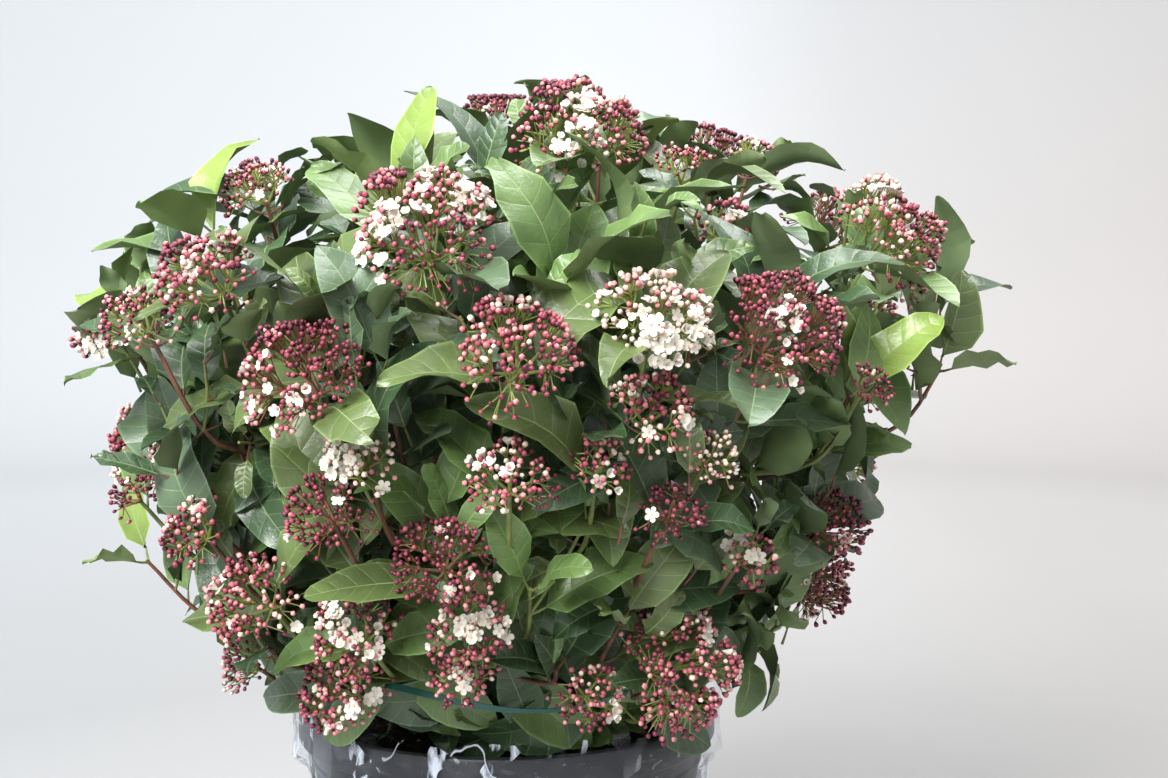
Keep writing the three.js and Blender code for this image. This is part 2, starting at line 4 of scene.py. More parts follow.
import bpy
import numpy as np
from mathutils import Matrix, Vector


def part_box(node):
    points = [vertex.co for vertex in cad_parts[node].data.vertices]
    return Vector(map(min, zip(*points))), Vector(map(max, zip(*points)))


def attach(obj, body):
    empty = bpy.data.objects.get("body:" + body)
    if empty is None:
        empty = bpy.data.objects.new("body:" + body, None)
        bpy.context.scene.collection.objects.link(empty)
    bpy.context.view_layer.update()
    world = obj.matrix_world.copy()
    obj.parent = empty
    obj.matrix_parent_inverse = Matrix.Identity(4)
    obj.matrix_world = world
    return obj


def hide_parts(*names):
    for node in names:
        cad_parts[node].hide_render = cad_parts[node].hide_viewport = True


bl_info = {
    "name": "Potted laurustinus",
    "version": (1, 0, 0),
    "blender": (4, 5, 0),
    "location": "3D View > Sidebar > Laurustinus",
    "description": "A laurustinus in flower in a black plastic pot with a clear film sleeve",
    "category": "Add Mesh",
}

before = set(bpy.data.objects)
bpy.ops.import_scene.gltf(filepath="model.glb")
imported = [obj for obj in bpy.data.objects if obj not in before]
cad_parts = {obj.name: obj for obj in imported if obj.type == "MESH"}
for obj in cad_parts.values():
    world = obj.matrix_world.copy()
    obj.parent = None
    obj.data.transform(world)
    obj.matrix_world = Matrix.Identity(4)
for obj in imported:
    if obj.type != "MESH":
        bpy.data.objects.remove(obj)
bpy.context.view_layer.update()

MM = 0.001
TAU = 2 * math.pi
UP = np.array([0.0, 0.0, 1.0])
RIGHT = np.array([1.0, 0.0, 0.0])

# The growth rule, the same as in the part's source, in millimetres
COMPOST_TOP = 212
TIE = {"radius": 146, "height": 265, "width": 4, "sags": 4, "sagAt": 12, "sagDepth": 6.5}
STEM = {"flare": 29, "neck": 18, "knuckle": 21, "top": 284, "lean": 3}
FORK = np.array([0.0, 0.0, 262.0])
BOUGH = {"root": 3.4, "tip": 2.7, "tipAt": 0.84, "tipGap": 0.5, "rise": 0.14}
BOUGH_ROOT = {"lowest": 234, "perDegree": 0.56, "out": 8}
SHOOT = {"upturn": 0.34, "arch": 0.45, "firstFork": 0.2, "lastFork": 0.6}
LEAF = {"length": 75, "halfWidth": 0.26, "rootAhead": 0.8, "lowest": 231}
PAIRS = {"first": 9, "spacing": 27, "headSpread": 62, "leafySpread": 38, "spreadMore": 12, "droop": 0.04}
HEAD = {"dome": 0.2, "funnel": 0.3}
CROWN = {"lowReach": 172, "fullReach": 405, "fullLift": 45, "flare": 1.6, "flatten": 30,
         "depthShare": 0.88, "even": 0.97, "lean": 0.05, "margin": 1.07}

# Each mass: the bearing and lift of its aim, then its shoots as bearing, lift, reach, width of the
# flower head and bloom. A shoot with no head is leafy.
MASSES = {
    "top": ((20, 80), (
        (-170, 86, 371, 58, "dark"), (20, 67, 386, 80, "mixed"), (0, 70, 374, 0, "leaf"),
        (70, 79, 362, 36, "dusky"), (-80, 77, 362, 0, "leaf"), (110, 78, 362, 0, "young"))),
    "top_right": ((72, 64), (
        (80, 70, 356, 42, "dusky"), (60, 60, 336, 46, "mixed"), (103, 63, 384, 34, "dusky"),
        (25, 58, 364, 0, "leaf"))),
    "top_left": ((-24, 58), (
        (-8, 53, 378, 84, "mixed"), (-24, 65, 378, 0, "young"), (-62, 62, 362, 44, "dusky"),
        (-26, 50, 360, 0, "leaf"))),
    "right_shoulder": ((76, 44), (
        (69, 49, 396, 76, "pink"), (76, 37, 388, 0, "leaf"), (84, 42, 416, 0, "leaf"))),
    "front_right": ((44, 42), (
        (36, 42, 366, 74, "red"), (47, 50, 374, 0, "leaf"), (52, 36, 338, 28, "brown"),
        (56, 39, 354, 0, "young"))),
    "front_upper": ((17, 44), (
        (20, 43, 366, 60, "white"), (11, 51, 370, 0, "leaf"), (20, 37, 326, 46, "pink"))),
    "front_middle": ((3, 36), (
        (4, 41, 356, 66, "rose"), (3, 32, 304, 46, "pink"), (-7, 33, 298, 0, "leaf"),
        (13, 39, 336, 0, "leaf"), (14, 33, 300, 32, "pink"))),
    "front_left": ((-16, 38), (
        (-21, 40, 346, 70, "red"), (-13, 43, 362, 0, "leaf"), (-15, 34, 306, 40, "white"))),
    "left_shoulder": ((-54, 48), (
        (-36, 46, 376, 60, "rose"), (-45, 41, 368, 42, "dusky"), (-66, 56, 384, 0, "young"),
        (-76, 44, 372, 0, "young"))),
    "left_middle": ((-44, 28), (
        (-48, 33, 326, 0, "leaf"), (-20, 29, 290, 46, "crimson"), (-44, 26, 276, 40, "rose"),
        (-62, 27, 284, 26, "dark"), (-70, 22, 290, 0, "young"))),
    "low_left": ((-34, 15), (
        (-36, 20, 250, 56, "rose"), (-46, 16, 236, 0, "leaf"), (-50, 8, 206, 34, "dusky"),
        (-21, 17, 228, 52, "mixed"), (-29, 8, 196, 54, "rose"))),
    "low_front": ((1, 16), (
        (-6, 26, 266, 54, "crimson"), (-3, 18, 232, 46, "mixed"), (-5, 11, 202, 36, "rose"),
        (-10, 8, 184, 0, "leaf"), (9, 5, 182, 0, "leaf"), (6, 26, 272, 0, "leaf"),
        (12, 16, 214, 0, "leaf"))),
    "low_right": ((28, 13), (
        (33, 13, 216, 76, "rose"), (37, 3, 182, 46, "rose"), (18, 7, 188, 40, "pink"),
        (22, 22, 246, 0, "leaf"), (27, 5, 180, 0, "leaf"))),
    "right_middle": ((44, 27), (
        (24, 29, 284, 36, "crimson"), (28, 33, 306, 32, "green"), (38, 24, 262, 34, "mixed"),
        (62, 26, 262, 46, "crimson"), (64, 16, 236, 0, "leaf"), (58, 32, 312, 0, "leaf"))),
}
BACK_RINGS = (
    {"lift": 15, "bearings": (84, 120, 156, 197, 236, 274), "shoots": 4, "spread": (14, 9)},
    {"lift": 40, "bearings": (105, 155, 205, 255, 294), "shoots": 4, "spread": (17, 12)},
    {"lift": 66, "bearings": (150, 240), "shoots": 5, "spread": (34, 11)},
)
BACK_BLOOMS = ("rose", "leaf", "mixed", "red", "leaf", "pink", "dusky", "white", "leaf", "dark")
BACK_HEADS = {"least": 40, "range": 34}
GOLDEN_TURN = 137.5

# What the growth is carried on to here: more leaf pairs, side sprigs, and flowers on the heads
MORE = {"pairsUnderHead": 5, "pairsOnLeafy": 6, "petiole": 9, "mostSpread": 86, "unusedDraws": 8}
# The room that a leaf needs: more of it high up and far out, where the crown is open
ROOM = {"cell": 7.0, "least": 3.0, "fair": 6.0, "open": 5.6, "openAbove": 480, "openBeside": 190}
# The side sprigs, each with two pairs of small leaves, from its tip down
SPRIG = {"length": 46, "ahead": 0.75, "aside": 0.66, "upturn": 0.18, "margin": 1.01, "leaf": 0.66,
         "pairs": (0.97, 0.5), "opens": (34, 52), "tipLeaf": 0.85}
# The short shoots at the stem's foot: how many, how large their leaves are, and (distance, height) along them
BASE = {"shoots": 26, "leaf": 1.2, "start": (14, 236), "middle": (60, 230), "end": (94, 236), "more": (18, 8)}
# How far the heads hang down and turn to the front, and how far apart they keep
NOD = {"down": 0.3, "forward": 0.12, "atSide": 0.5, "notPast": 0.15}
HEAD_ROOM = {"share": 0.86, "middle": 0.36, "least": 0.62}
# How the flowers of a head are spread: how close, how far out, how far they stray, and how their ways fan out
FLOWERS = {"spacing": 4.35, "cover": 0.907, "reach": 0.485, "lobes": (0.1, 0.08), "jitter": 0.9,
           "jitterUp": 1.7, "stray": 0.26, "fan": 1.15, "perStalk": 6, "sizes": (0.82, 1.15)}
# The clusters of a head, with lengths as shares of its width. A narrow head has fewer of them
CLUSTERS = {"most": 7, "middleFrom": 30, "allFrom": 44, "swing": 0.3, "out": (0.29, 0.35), "radius": 0.19,
            "lift": 0.08, "bump": 0.13, "gather": 0.14, "nodeOut": 0.7, "nodeUp": 0.17}
# A head's dome: how round its top is, how its edge turns down, and how far a flower may stand over it
DOME = {"round": 2.4, "edge": 0.07, "edgeRound": 6, "over": 0.03}
# The radii along each kind of twig, from its start to its tip, and along each kind of stalk
TWIG_RADII = {"leader": (2.5, 1.25), "shoot": (1.9, 1.25), "sprig": (1.25, 0.9)}
STALK_RADII = {"leaf": (1.0, 0.8, 0.55), "ray": (1.15, 0.85, 0.7), "group": (0.62, 0.5),
               "flower": (0.42, 0.34)}
# The seeds of what falls at random
SEEDS = {"backMasses": 500, "baseShoots": 500, "leaves": 1000, "lots": 90, "blades": 100, "flowers": 7}
# Where the tie shows at the front, by bearing, height and distance, so that no leaf hides it there
TIE_SHOWS = {"from": -24, "to": 24, "low": 252, "high": 280, "out": 144}
# No leaf comes within these distances and heights, where the compost, the rim and the film are
POT_SPACE = {"overCompost": 4, "inside": 152, "wallFrom": 126, "wallTo": 151, "wallTop": 245}

# Each bloom: the shares of open, pale, pink, red and dark flowers, the size of its buds, and its stalks
BLOOMS = {
    "white": ((0.32, 0.56, 0.12, 0.00, 0.00), 0.95, "green"),
    "mixed": ((0.16, 0.13, 0.28, 0.24, 0.19), 0.95, "green"),
    "pink": ((0.06, 0.18, 0.38, 0.26, 0.12), 0.9, "green"),
    "rose": ((0.05, 0.10, 0.38, 0.33, 0.14), 0.95, "green"),
    "red": ((0.05, 0.03, 0.15, 0.42, 0.35), 0.84, "red"),
    "crimson": ((0.02, 0.02, 0.06, 0.34, 0.56), 0.84, "red"),
    "dark": ((0.01, 0.02, 0.08, 0.24, 0.65), 0.76, "red"),
    "dusky": ((0.02, 0.13, 0.30, 0.25, 0.30), 0.76, "green"),
    "brown": ((0.00, 0.05, 0.15, 0.20, 0.60), 0.75, "red"),
    "green": ((0.00, 0.80, 0.20, 0.00, 0.00), 0.75, "green"),
}
FLOWER_KINDS = ("open", "pale", "pink", "red", "dark")
# Each kind of bud: the colour of its foot and the two colours that its body varies between
BUD_TINTS = {
    "pale": ((0.50, 0.32, 0.22), (0.80, 0.70, 0.58), (0.74, 0.48, 0.42)),
    "pink": ((0.20, 0.035, 0.05), (0.44, 0.10, 0.13), (0.72, 0.36, 0.34)),
    "red": ((0.085, 0.014, 0.022), (0.20, 0.026, 0.05), (0.42, 0.09, 0.125)),
    "dark": ((0.045, 0.01, 0.015), (0.085, 0.011, 0.023), (0.19, 0.026, 0.05)),
}


# Growth

def seeded(seed):
    """A stream of numbers from 0 to 1, the same one as in the source."""
    state = (seed * 2654435 + 97) & 0xFFFFFFFF

    def draw():
        nonlocal state
        state = (state * 1664525 + 1013904223) & 0xFFFFFFFF
        return state / 4294967296
    draw()
    draw()
    return draw


def leaf_draws(seed):
    """A stream for the leaves of a shoot, past its first few numbers."""
    draw = seeded(seed)
    for _ in range(MORE["unusedDraws"]):
        draw()
    return draw


def unit(vector):
    return vector / np.linalg.norm(vector)


def lerp(start, end, share):
    return start + (end - start) * share


def heading(bearing, lift):
    """The way that a bearing and a lift point: bearing 0 is the front and 90 the right."""
    turn, rise = math.radians(bearing), math.radians(lift)
    return np.array([math.sin(turn) * math.cos(rise), -math.cos(turn) * math.cos(rise), math.sin(rise)])


def crown_reach(bearing, lift):
    """How far the crown reaches from the fork in a direction: like a vase, domed above its widest lift."""
    share = min(max(lift / CROWN["fullLift"], 0), 1)
    past = max(0, lift - CROWN["fullLift"]) / (90 - CROWN["fullLift"])
    reach = lerp(CROWN["lowReach"], CROWN["fullReach"], share ** CROWN["flare"])
    lean = CROWN["even"] + CROWN["lean"] * math.sin(math.radians(bearing))
    x, y, z = heading(bearing, lift)
    return (reach - CROWN["flatten"] * past) * lean / math.hypot(x, y / CROWN["depthShare"], z)


def in_crown(place, margin, own_reach):
    """True if a place is within a margin on the crown's reach, or within a reach of its own."""
    out = place - FORK
    far = np.linalg.norm(out)
    bearing, lift = math.degrees(math.atan2(out[0], -out[1])), math.degrees(math.asin(out[2] / far))
    return far < max(margin * crown_reach(bearing, lift), own_reach)


class Bend:
    """A quadratic curve between two points, drawn towards a third."""

    def __init__(self, start, middle, end):
        self.points = [start, middle, end]
        self.length = path_length(self)

    def at(self, share):
        a, b, c = self.points
        return (1 - share) ** 2 * a + 2 * share * (1 - share) * b + share ** 2 * c


class Through:
    """A smooth curve through points: a centripetal Catmull-Rom."""

    def __init__(self, points):
        first, last = 2 * points[0] - points[1], 2 * points[-1] - points[-2]
        self.points = [first, *points, last]
        self.length = path_length(self)

    def at(self, share):
        spans = len(self.points) - 3
        span = min(int(share * spans), spans - 1)
        t = share * spans - span
        a, b, c, d = self.points[span:span + 4]
        before, along, after = (max(np.linalg.norm(q - p), 1e-8) ** 0.5 for p, q in ((a, b), (b, c), (c, d)))
        rise = ((b - a) / before - (c - a) / (before + along) + (c - b) / along) * along
        fall = ((c - b) / along - (d - b) / (along + after) + (d - c) / after) * along
        return b + rise * t + (3 * (c - b) - 2 * rise - fall) * t ** 2 + (2 * (b - c) + rise + fall) * t ** 3


def path_length(curve, steps=24):
    points = [curve.at(n / steps) for n in range(steps + 1)]
    return sum(np.linalg.norm(q - p) for p, q in zip(points, points[1:]))


def well_off(way):
    """A direction that is well off a way, to take crosswise ones from."""
    return UP if abs(way[2]) < 0.9 else RIGHT


def crosswise(way, aside):
    """Two ways across a way, the first one also across another."""
    first = unit(np.cross(way, aside))
    return first, np.cross(way, first)


def frame_at(curve, share):
    """The place on a curve at a share of its length, the way ahead there and two ways across it."""
    aside = well_off(unit(curve.at(1) - curve.at(0)))
    ahead = unit(curve.at(min(share + 0.01, 1)) - curve.at(max(share - 0.01, 0)))
    first = unit(np.cross(ahead, aside))
    return curve.at(share), ahead, first, np.cross(first, ahead)


def bough_curve(aim):
    bearing, lift = aim
    root = heading(bearing, 0) * BOUGH_ROOT["out"] * math.cos(math.radians(lift))
    root[2] = BOUGH_ROOT["lowest"] + BOUGH_ROOT["perDegree"] * lift
    fork = FORK + heading(bearing, lift) * 0.5 * crown_reach(bearing, lift)
    middle = (root + fork) / 2
    middle[2] += BOUGH["rise"] * np.linalg.norm(fork - root)
    return Bend(root, middle, fork)


def all_masses():
    """Every mass as (aim, shoots): those of the plan, then those of the rings at the sides and back."""
    masses = list(MASSES.values())
    for ring in BACK_RINGS:
        for place, bearing in enumerate(ring["bearings"]):
            draw = seeded(SEEDS["backMasses"] + len(masses))
            shoots = []
            for n in range(ring["shoots"]):
                turn = math.radians(GOLDEN_TURN * n + 40 * place)
                far = math.sqrt((n + 0.6) / ring["shoots"])
                at = (bearing + ring["spread"][0] * far * math.cos(turn),
                      ring["lift"] + ring["spread"][1] * far * math.sin(turn))
                bloom = BACK_BLOOMS[(len(masses) * 3 + n) % len(BACK_BLOOMS)]
                width = 0 if bloom == "leaf" else BACK_HEADS["least"] + BACK_HEADS["range"] * draw()
                shoots.append((*at, crown_reach(*at) * (0.95 + 0.07 * draw()), width, bloom))
            masses.append(((bearing, ring["lift"]), shoots))
    return masses


def shoot_of(row, roots):
    """One shoot, through its roots to the underside of its head."""
    bearing, lift, reach, width, bloom = row
    outward = heading(bearing, lift)
    facing = unit(lerp(outward, UP, SHOOT["upturn"]))
    crown = width * (HEAD["dome"] + HEAD["funnel"]) if width else LEAF["length"] * 0.55
    end = FORK + outward * reach - facing * crown
    bend = end - facing * SHOOT["arch"] * np.linalg.norm(end - roots[-1])
    forward = (NOD["forward"] + NOD["atSide"] * facing[0] ** 2) * (facing[1] < NOD["notPast"])
    nodding = unit(facing - np.array([0, forward, NOD["down"]]))
    return {"curve": Through([*roots, bend, end]), "facing": facing, "nodding": nodding, "reach": reach,
            "width": width, "bloom": bloom}


def shoots_of(aim, rows, stem):
    """The shoots of a mass: the one nearest to its middle leads on, and the others leave it in turn."""
    middle = heading(*aim)
    rows = sorted(rows, key=lambda row: math.acos(min(1, heading(row[0], row[1]) @ middle)))
    leader = shoot_of(rows[0], stem)
    shoots = [leader]
    for n, row in enumerate(rows[1:]):
        share = SHOOT["lastFork"] - (SHOOT["lastFork"] - SHOOT["firstFork"]) * n / len(rows)
        shoots.append(shoot_of(row, [leader["curve"].at(share)]))
    return shoots


def leaf_pairs(shoot, draw):
    """The leaves of a shoot, in pairs set crosswise from the tip down."""
    leaves = []
    turn = 45 + 90 * math.floor(3 * draw() + 0.5)
    least = PAIRS["headSpread"] if shoot["width"] else PAIRS["leafySpread"]
    for pair in range(MORE["pairsUnderHead"] if shoot["width"] else MORE["pairsOnLeafy"]):
        back = PAIRS["first"] + pair * PAIRS["spacing"] * (0.85 + 0.3 * draw())
        share = 1 - back / shoot["curve"].length
        turn += 90
        for side in (0, 180):
            size = LEAF["length"] * (0.86 + 0.28 * draw())
            spread = min(least + pair * PAIRS["spreadMore"], MORE["mostSpread"]) + 14 * (draw() - 0.5)
            if share > 0.06:
                leaves.append({"share": share, "turn": turn + side, "size": size, "open": spread,
                               "pair": pair})
    return leaves


def leaf_place(shoot, leaf, opening, growth, roll):
    """A leaf's root, the way from root to tip, the way its upper side looks, and its length.

    One near the pot lifts its tip clear of the film and the tie."""
    at, ahead, first, second = frame_at(shoot["curve"], leaf["share"])
    turn, spread = math.radians(leaf["turn"] + roll), math.radians(leaf["open"] * opening)
    out = first * math.cos(turn) + second * math.sin(turn)
    way = ahead * math.cos(spread) + out * math.sin(spread)
    way[2] -= PAIRS["droop"] * (1 + leaf["pair"])
    way[2] = max(way[2], (LEAF["lowest"] - at[2]) / leaf["size"])
    way = unit(way)
    face = lerp(ahead, shoot["facing"], 0.5)
    face = unit(face - way * (face @ way))
    return {"root": at + way * LEAF["rootAhead"], "way": way, "face": face, "length": leaf["size"] * growth}


class Room:
    """The points that are taken so far, kept in cells, to tell how much room a new leaf would have."""

    def __init__(self):
        self.cells = {}

    def take(self, points, owner):
        for point in points:
            cell = tuple((point // ROOM["cell"]).astype(int))
            self.cells.setdefault(cell, []).append((*point, owner))

    def around(self, points, owner, enough):
        """The distance from the nearest taken point of another owner, at most a cell.

        The search ends at the first point that leaves less room than enough."""
        least = ROOM["cell"] ** 2
        for x, y, z in points:
            i, j, k = (int(part // ROOM["cell"]) for part in (x, y, z))
            for a in (i - 1, i, i + 1):
                for b in (j - 1, j, j + 1):
                    for c in (k - 1, k, k + 1):
                        for px, py, pz, who in self.cells.get((a, b, c), ()):
                            if who != owner:
                                least = min(least, (x - px) ** 2 + (y - py) ** 2 + (z - pz) ** 2)
            if least < enough ** 2:
                break
        return math.sqrt(least)


BLADE_POINTS = [(along, across) for along in (0.22, 0.42, 0.62, 0.82, 1.0) for across in (-0.6, 0, 0.6)]


def blade_points(place):
    """Points spread over a leaf's blade, from its frame."""
    aside = np.cross(place["way"], place["face"])
    half = LEAF["halfWidth"] * place["length"]
    return [place["root"] + place["way"] * place["length"] * along
            + aside * half * across * math.sin(math.pi * along ** 0.8)
            for along, across in BLADE_POINTS]


def on_pot(points):
    """True if a point would be in the pot, the film or the compost, or hide the tie at the front."""
    for x, y, z in points:
        out = math.hypot(x, y)
        if z < COMPOST_TOP + POT_SPACE["overCompost"] and out < POT_SPACE["inside"]:
            return True
        if POT_SPACE["wallFrom"] < out < POT_SPACE["wallTo"] and z < POT_SPACE["wallTop"]:
            return True
        if out > TIE_SHOWS["out"] and TIE_SHOWS["low"] < z < TIE_SHOWS["high"]:
            if TIE_SHOWS["from"] < math.degrees(math.atan2(x, -y)) < TIE_SHOWS["to"]:
                return True
    return False


# How a leaf is tried: how far it opens, how much it grows, and how it is turned round its shoot
TRIES = [(opening, growth, roll) for growth in (1, 0.86, 0.72) for opening, roll in
         ((1, 0), (1.2, 0), (0.75, 0), (1, 25), (1, -25), (0.5, 0), (1.2, 30), (0.75, -30))]


def place_leaf(shoot, leaf, room, owner):
    """The place for a leaf that has fair room, or the best of its tries, or None if none has any."""
    x, _, z = shoot["curve"].at(leaf["share"])
    far_out = z > ROOM["openAbove"] or abs(x) > ROOM["openBeside"]
    best, most = None, ROOM["open"] if far_out else ROOM["least"]
    own_reach = 0 if leaf["pair"] else shoot["reach"]
    margin = CROWN["margin"] if shoot["reach"] else SPRIG["margin"]
    for opening, growth, roll in TRIES:
        place = leaf_place(shoot, leaf, opening, growth, roll)
        points = blade_points(place)
        tip = place["root"] + place["way"] * place["length"]
        if on_pot(points) or not in_crown(tip, margin, own_reach):
            continue
        free = room.around(points, owner, most)
        if free > most:
            best, most = (place, points), free
        if free > ROOM["fair"]:
            break
    if best is None:
        return None
    place, points = best
    room.take(points, owner)
    return place


# Rings of points that fill a flower head: their radius and height as shares of its width
HEAD_RINGS = ((0, 0.2), (0, 0.34), (0.16, 0.36), (0.32, 0.36), (0.46, 0.32))


def head_points(shoot):
    """Points that fill a flower head, for the room it takes."""
    end, facing, width = shoot["curve"].at(1), shoot["nodding"], shoot["width"]
    first, second = crosswise(facing, [0.3, 0.5, 0.1])
    points = []
    for ring, rise in HEAD_RINGS:
        count = max(1, int(ring * width / 1.8))
        for turn in TAU * np.arange(count) / count:
            across = first * math.cos(turn) + second * math.sin(turn)
            points.append(end + facing * rise * width + across * ring * width)
    return points


def sprig_of(shoot, share, turn, draw):
    """A short side shoot with two pairs of small leaves, out of the axil of a leaf."""
    at, ahead, first, second = frame_at(shoot["curve"], share)
    out = first * math.cos(turn) + second * math.sin(turn)
    length = SPRIG["length"] * (0.8 + 0.5 * draw())
    way = unit(ahead * SPRIG["ahead"] + out * SPRIG["aside"])
    tip = at + way * length + ahead * SPRIG["upturn"] * length
    curve = Through([at, at + way * length * 0.5, tip])
    return {"curve": curve, "facing": unit(way + shoot["facing"]), "reach": 0, "width": 0,
            "bloom": shoot["bloom"]}


def sprig_leaves(draw, growth=1):
    """Two pairs of small leaves for a side shoot, from the tip down."""
    rows = []
    for pair, share in enumerate(SPRIG["pairs"]):
        for side in (0, 180):
            size = LEAF["length"] * SPRIG["leaf"] * (0.8 + 0.4 * draw()) * (1 if pair else SPRIG["tipLeaf"])
            rows.append({"share": share, "turn": 90 * pair + side, "size": size * growth, "pair": pair + 1,
                         "open": SPRIG["opens"][pair] + 16 * (draw() - 0.5)})
    return rows


def base_shoots():
    """Short leafy shoots from the foot of the stem, which close the crown's underside over the rim."""
    shoots = []
    far, height = BASE["end"]
    for n in range(BASE["shoots"]):
        draw = leaf_draws(SEEDS["baseShoots"] + n)
        out = heading(360 * n / BASE["shoots"] + 8 * (draw() - 0.5), 0)
        tip = (far + BASE["more"][0] * draw(), height + BASE["more"][1] * draw())
        curve = Through([out * reach + UP * rise for reach, rise in (BASE["start"], BASE["middle"], tip)])
        shoots.append({"curve": curve, "facing": unit(out * 0.6 + UP), "reach": 0, "width": 0,
                       "bloom": "leaf", "name": ("base", n, "sprig"), "leads": False, "lot": draw(),
                       "draw": draw})
    return shoots


# What each spray of leaves is mostly made of, by the drawn number that it falls under
SPRAYS = ((0.3, "dark"), (0.5, "slate"), (0.74, "olive"), (1.0, "middle"))


def kind_of(shoot, pair):
    """The kind of a leaf: young ones are at the tips of young shoots, and the rest go by spray."""
    if shoot["bloom"] == "young":
        return "young" if pair < 1 else "middle"
    return next(kind for most, kind in SPRAYS if shoot["lot"] <= most)


def make_head_room(shoot, heads):
    """Narrows a flower head where those before it, as (centre, width), leave it too little room."""
    centre = shoot["curve"].at(1) + shoot["nodding"] * HEAD_ROOM["middle"] * shoot["width"]
    for other, other_width in heads:
        gap = np.linalg.norm(centre - other) / (0.5 * HEAD_ROOM["share"])
        shoot["width"] = min(shoot["width"], max(gap - other_width, HEAD_ROOM["least"] * shoot["width"]))
    heads.append((centre, shoot["width"]))


@functools.lru_cache(maxsize=1)
def grown_plant():
    """The whole plant: its boughs, its twigs, its leaves and its flower heads, in millimetres."""
    plant = {"boughs": [], "twigs": [], "leaves": [], "heads": []}
    room, wood, heads = Room(), [], []
    for number, (aim, rows) in enumerate(all_masses()):
        bough = bough_curve(aim)
        plant["boughs"].append(bough)
        stem = [bough.at(BOUGH["tipAt"] + BOUGH["tipGap"] / bough.length), bough.at(1)]
        for n, shoot in enumerate(shoots_of(aim, rows, stem)):
            shoot.update(name=(number, n), leads=n == 0, lot=seeded(SEEDS["lots"] + 7 * number + 31 * n)(),
                         draw=leaf_draws(SEEDS["leaves"] * (number + 1) + n))
            wood.append(shoot)
    for shoot in wood:
        if shoot["width"]:
            make_head_room(shoot, heads)
            room.take(head_points(shoot), ("head", shoot["name"]))
            plant["heads"].append(shoot)
        plant["twigs"].append(shoot)
    for shoot in wood:
        shoot["rows"] = leaf_pairs(shoot, shoot["draw"])
        grow_leaves(plant, shoot, shoot["rows"], room)
    for shoot in base_shoots():
        if grow_leaves(plant, shoot, sprig_leaves(shoot["draw"], BASE["leaf"]), room):
            plant["twigs"].append(shoot)
    for shoot in wood:
        grow_sprigs(plant, shoot, shoot["rows"], room)
    return plant


def grow_leaves(plant, shoot, rows, room):
    """Adds the leaves of a shoot that find room, and returns how many did."""
    found = 0
    for row in rows:
        place = place_leaf(shoot, row, room, (*shoot["name"], row["pair"]))
        if place:
            place["kind"] = kind_of(shoot, row["pair"])
            plant["leaves"].append(place)
            shoot["leafy_to"] = max(shoot.get("leafy_to", 0.65), row["share"])
            found += 1
    return found


def grow_sprigs(plant, shoot, rows, room):
    """Adds short side shoots out of the axils of the second pair of leaves and of those below it."""
    draw = shoot["draw"]
    for number, row in enumerate(rows[2::3]):
        turn = math.radians(row["turn"] + 20 * (draw() - 0.5))
        sprig = sprig_of(shoot, row["share"], turn, draw)
        leaves = sprig_leaves(draw)
        points = [sprig["curve"].at(share) for share in (0.4, 0.7, 1)]
        if on_pot(points) or room.around(points, None, ROOM["least"]) < ROOM["least"]:
            continue
        sprig.update(name=(*shoot["name"], "sprig", number), leads=False, lot=shoot["lot"])
        if grow_leaves(plant, sprig, leaves, room) > 1:
            room.take(points, sprig["name"])
            plant["twigs"].append(sprig)


# Meshes from arrays

def mesh_piece(name, parts, materials):
    """One joined piece from parts: each part is its points, its faces and a material number for each face."""
    counts = np.cumsum([0] + [len(points) for points, _, _ in parts])
    points = np.concatenate([points for points, _, _ in parts]) * MM
    faces = [faces + start for (_, faces, _), start in zip(parts, counts)]
    sizes = np.concatenate([np.full(len(f), f.shape[1]) for f in faces])
    corners = np.concatenate([f.ravel() for f in faces])
    slots = np.concatenate([np.broadcast_to(slots, len(f)) for (_, f, slots) in parts])
    mesh = bpy.data.meshes.new(name)
    mesh.vertices.add(len(points))
    mesh.vertices.foreach_set("co", points.astype(np.float32).ravel())
    mesh.loops.add(len(corners))
    mesh.loops.foreach_set("vertex_index", corners.astype(np.int32))
    mesh.polygons.add(len(sizes))
    mesh.polygons.foreach_set("loop_start", np.concatenate([[0], np.cumsum(sizes)[:-1]]).astype(np.int32))
    mesh.polygons.foreach_set("material_index", slots.astype(np.int32))
    mesh.update(calc_edges=True)
    mesh.validate()
    for material in materials:
        mesh.materials.append(material)
    piece = bpy.data.objects.new(name, mesh)
    bpy.context.scene.collection.objects.link(piece)
    return piece


def tube(points, radii, sides):
    """A tapering tube along points, closed at both ends, as a part."""
    points, radii = np.array(points), np.array(radii)
    ways = np.gradient(points, axis=0)
    ways /= np.linalg.norm(ways, axis=1)[:, None]
    first = np.cross(ways, well_off(unit(points[-1] - points[0])))
    first /= np.linalg.norm(first, axis=1)[:, None]
    second = np.cross(ways, first)
    turns = np.arange(sides) * TAU / sides
    across = first[:, None] * np.cos(turns)[None, :, None] + second[:, None] * np.sin(turns)[None, :, None]
    rings = points[:, None] + across * radii[:, None, None]
    side = np.arange(sides)
    after = (side + 1) % sides
    steps = np.arange(len(points) - 1)[:, None] * sides
    quads = np.stack([steps + side, steps + after, steps + sides + after, steps + sides + side], -1)
    last = (len(points) - 1) * sides
    corners = range(1, sides - 1)
    fans = [(0, n + 1, n) for n in corners] + [(last, last + n, last + n + 1) for n in corners]
    return rings.reshape(-1, 3), quads.reshape(-1, 4), np.array(fans)


def add_tube(parts, points, radii, sides):
    rings, quads, fans = tube(points, radii, sides)
    parts.append((rings, quads, 0))
    parts.append((rings[:0], fans - len(rings), 0))


# Leaf blades: the rows cross the blade in a V at each pair of veins, and the middle column is the rib

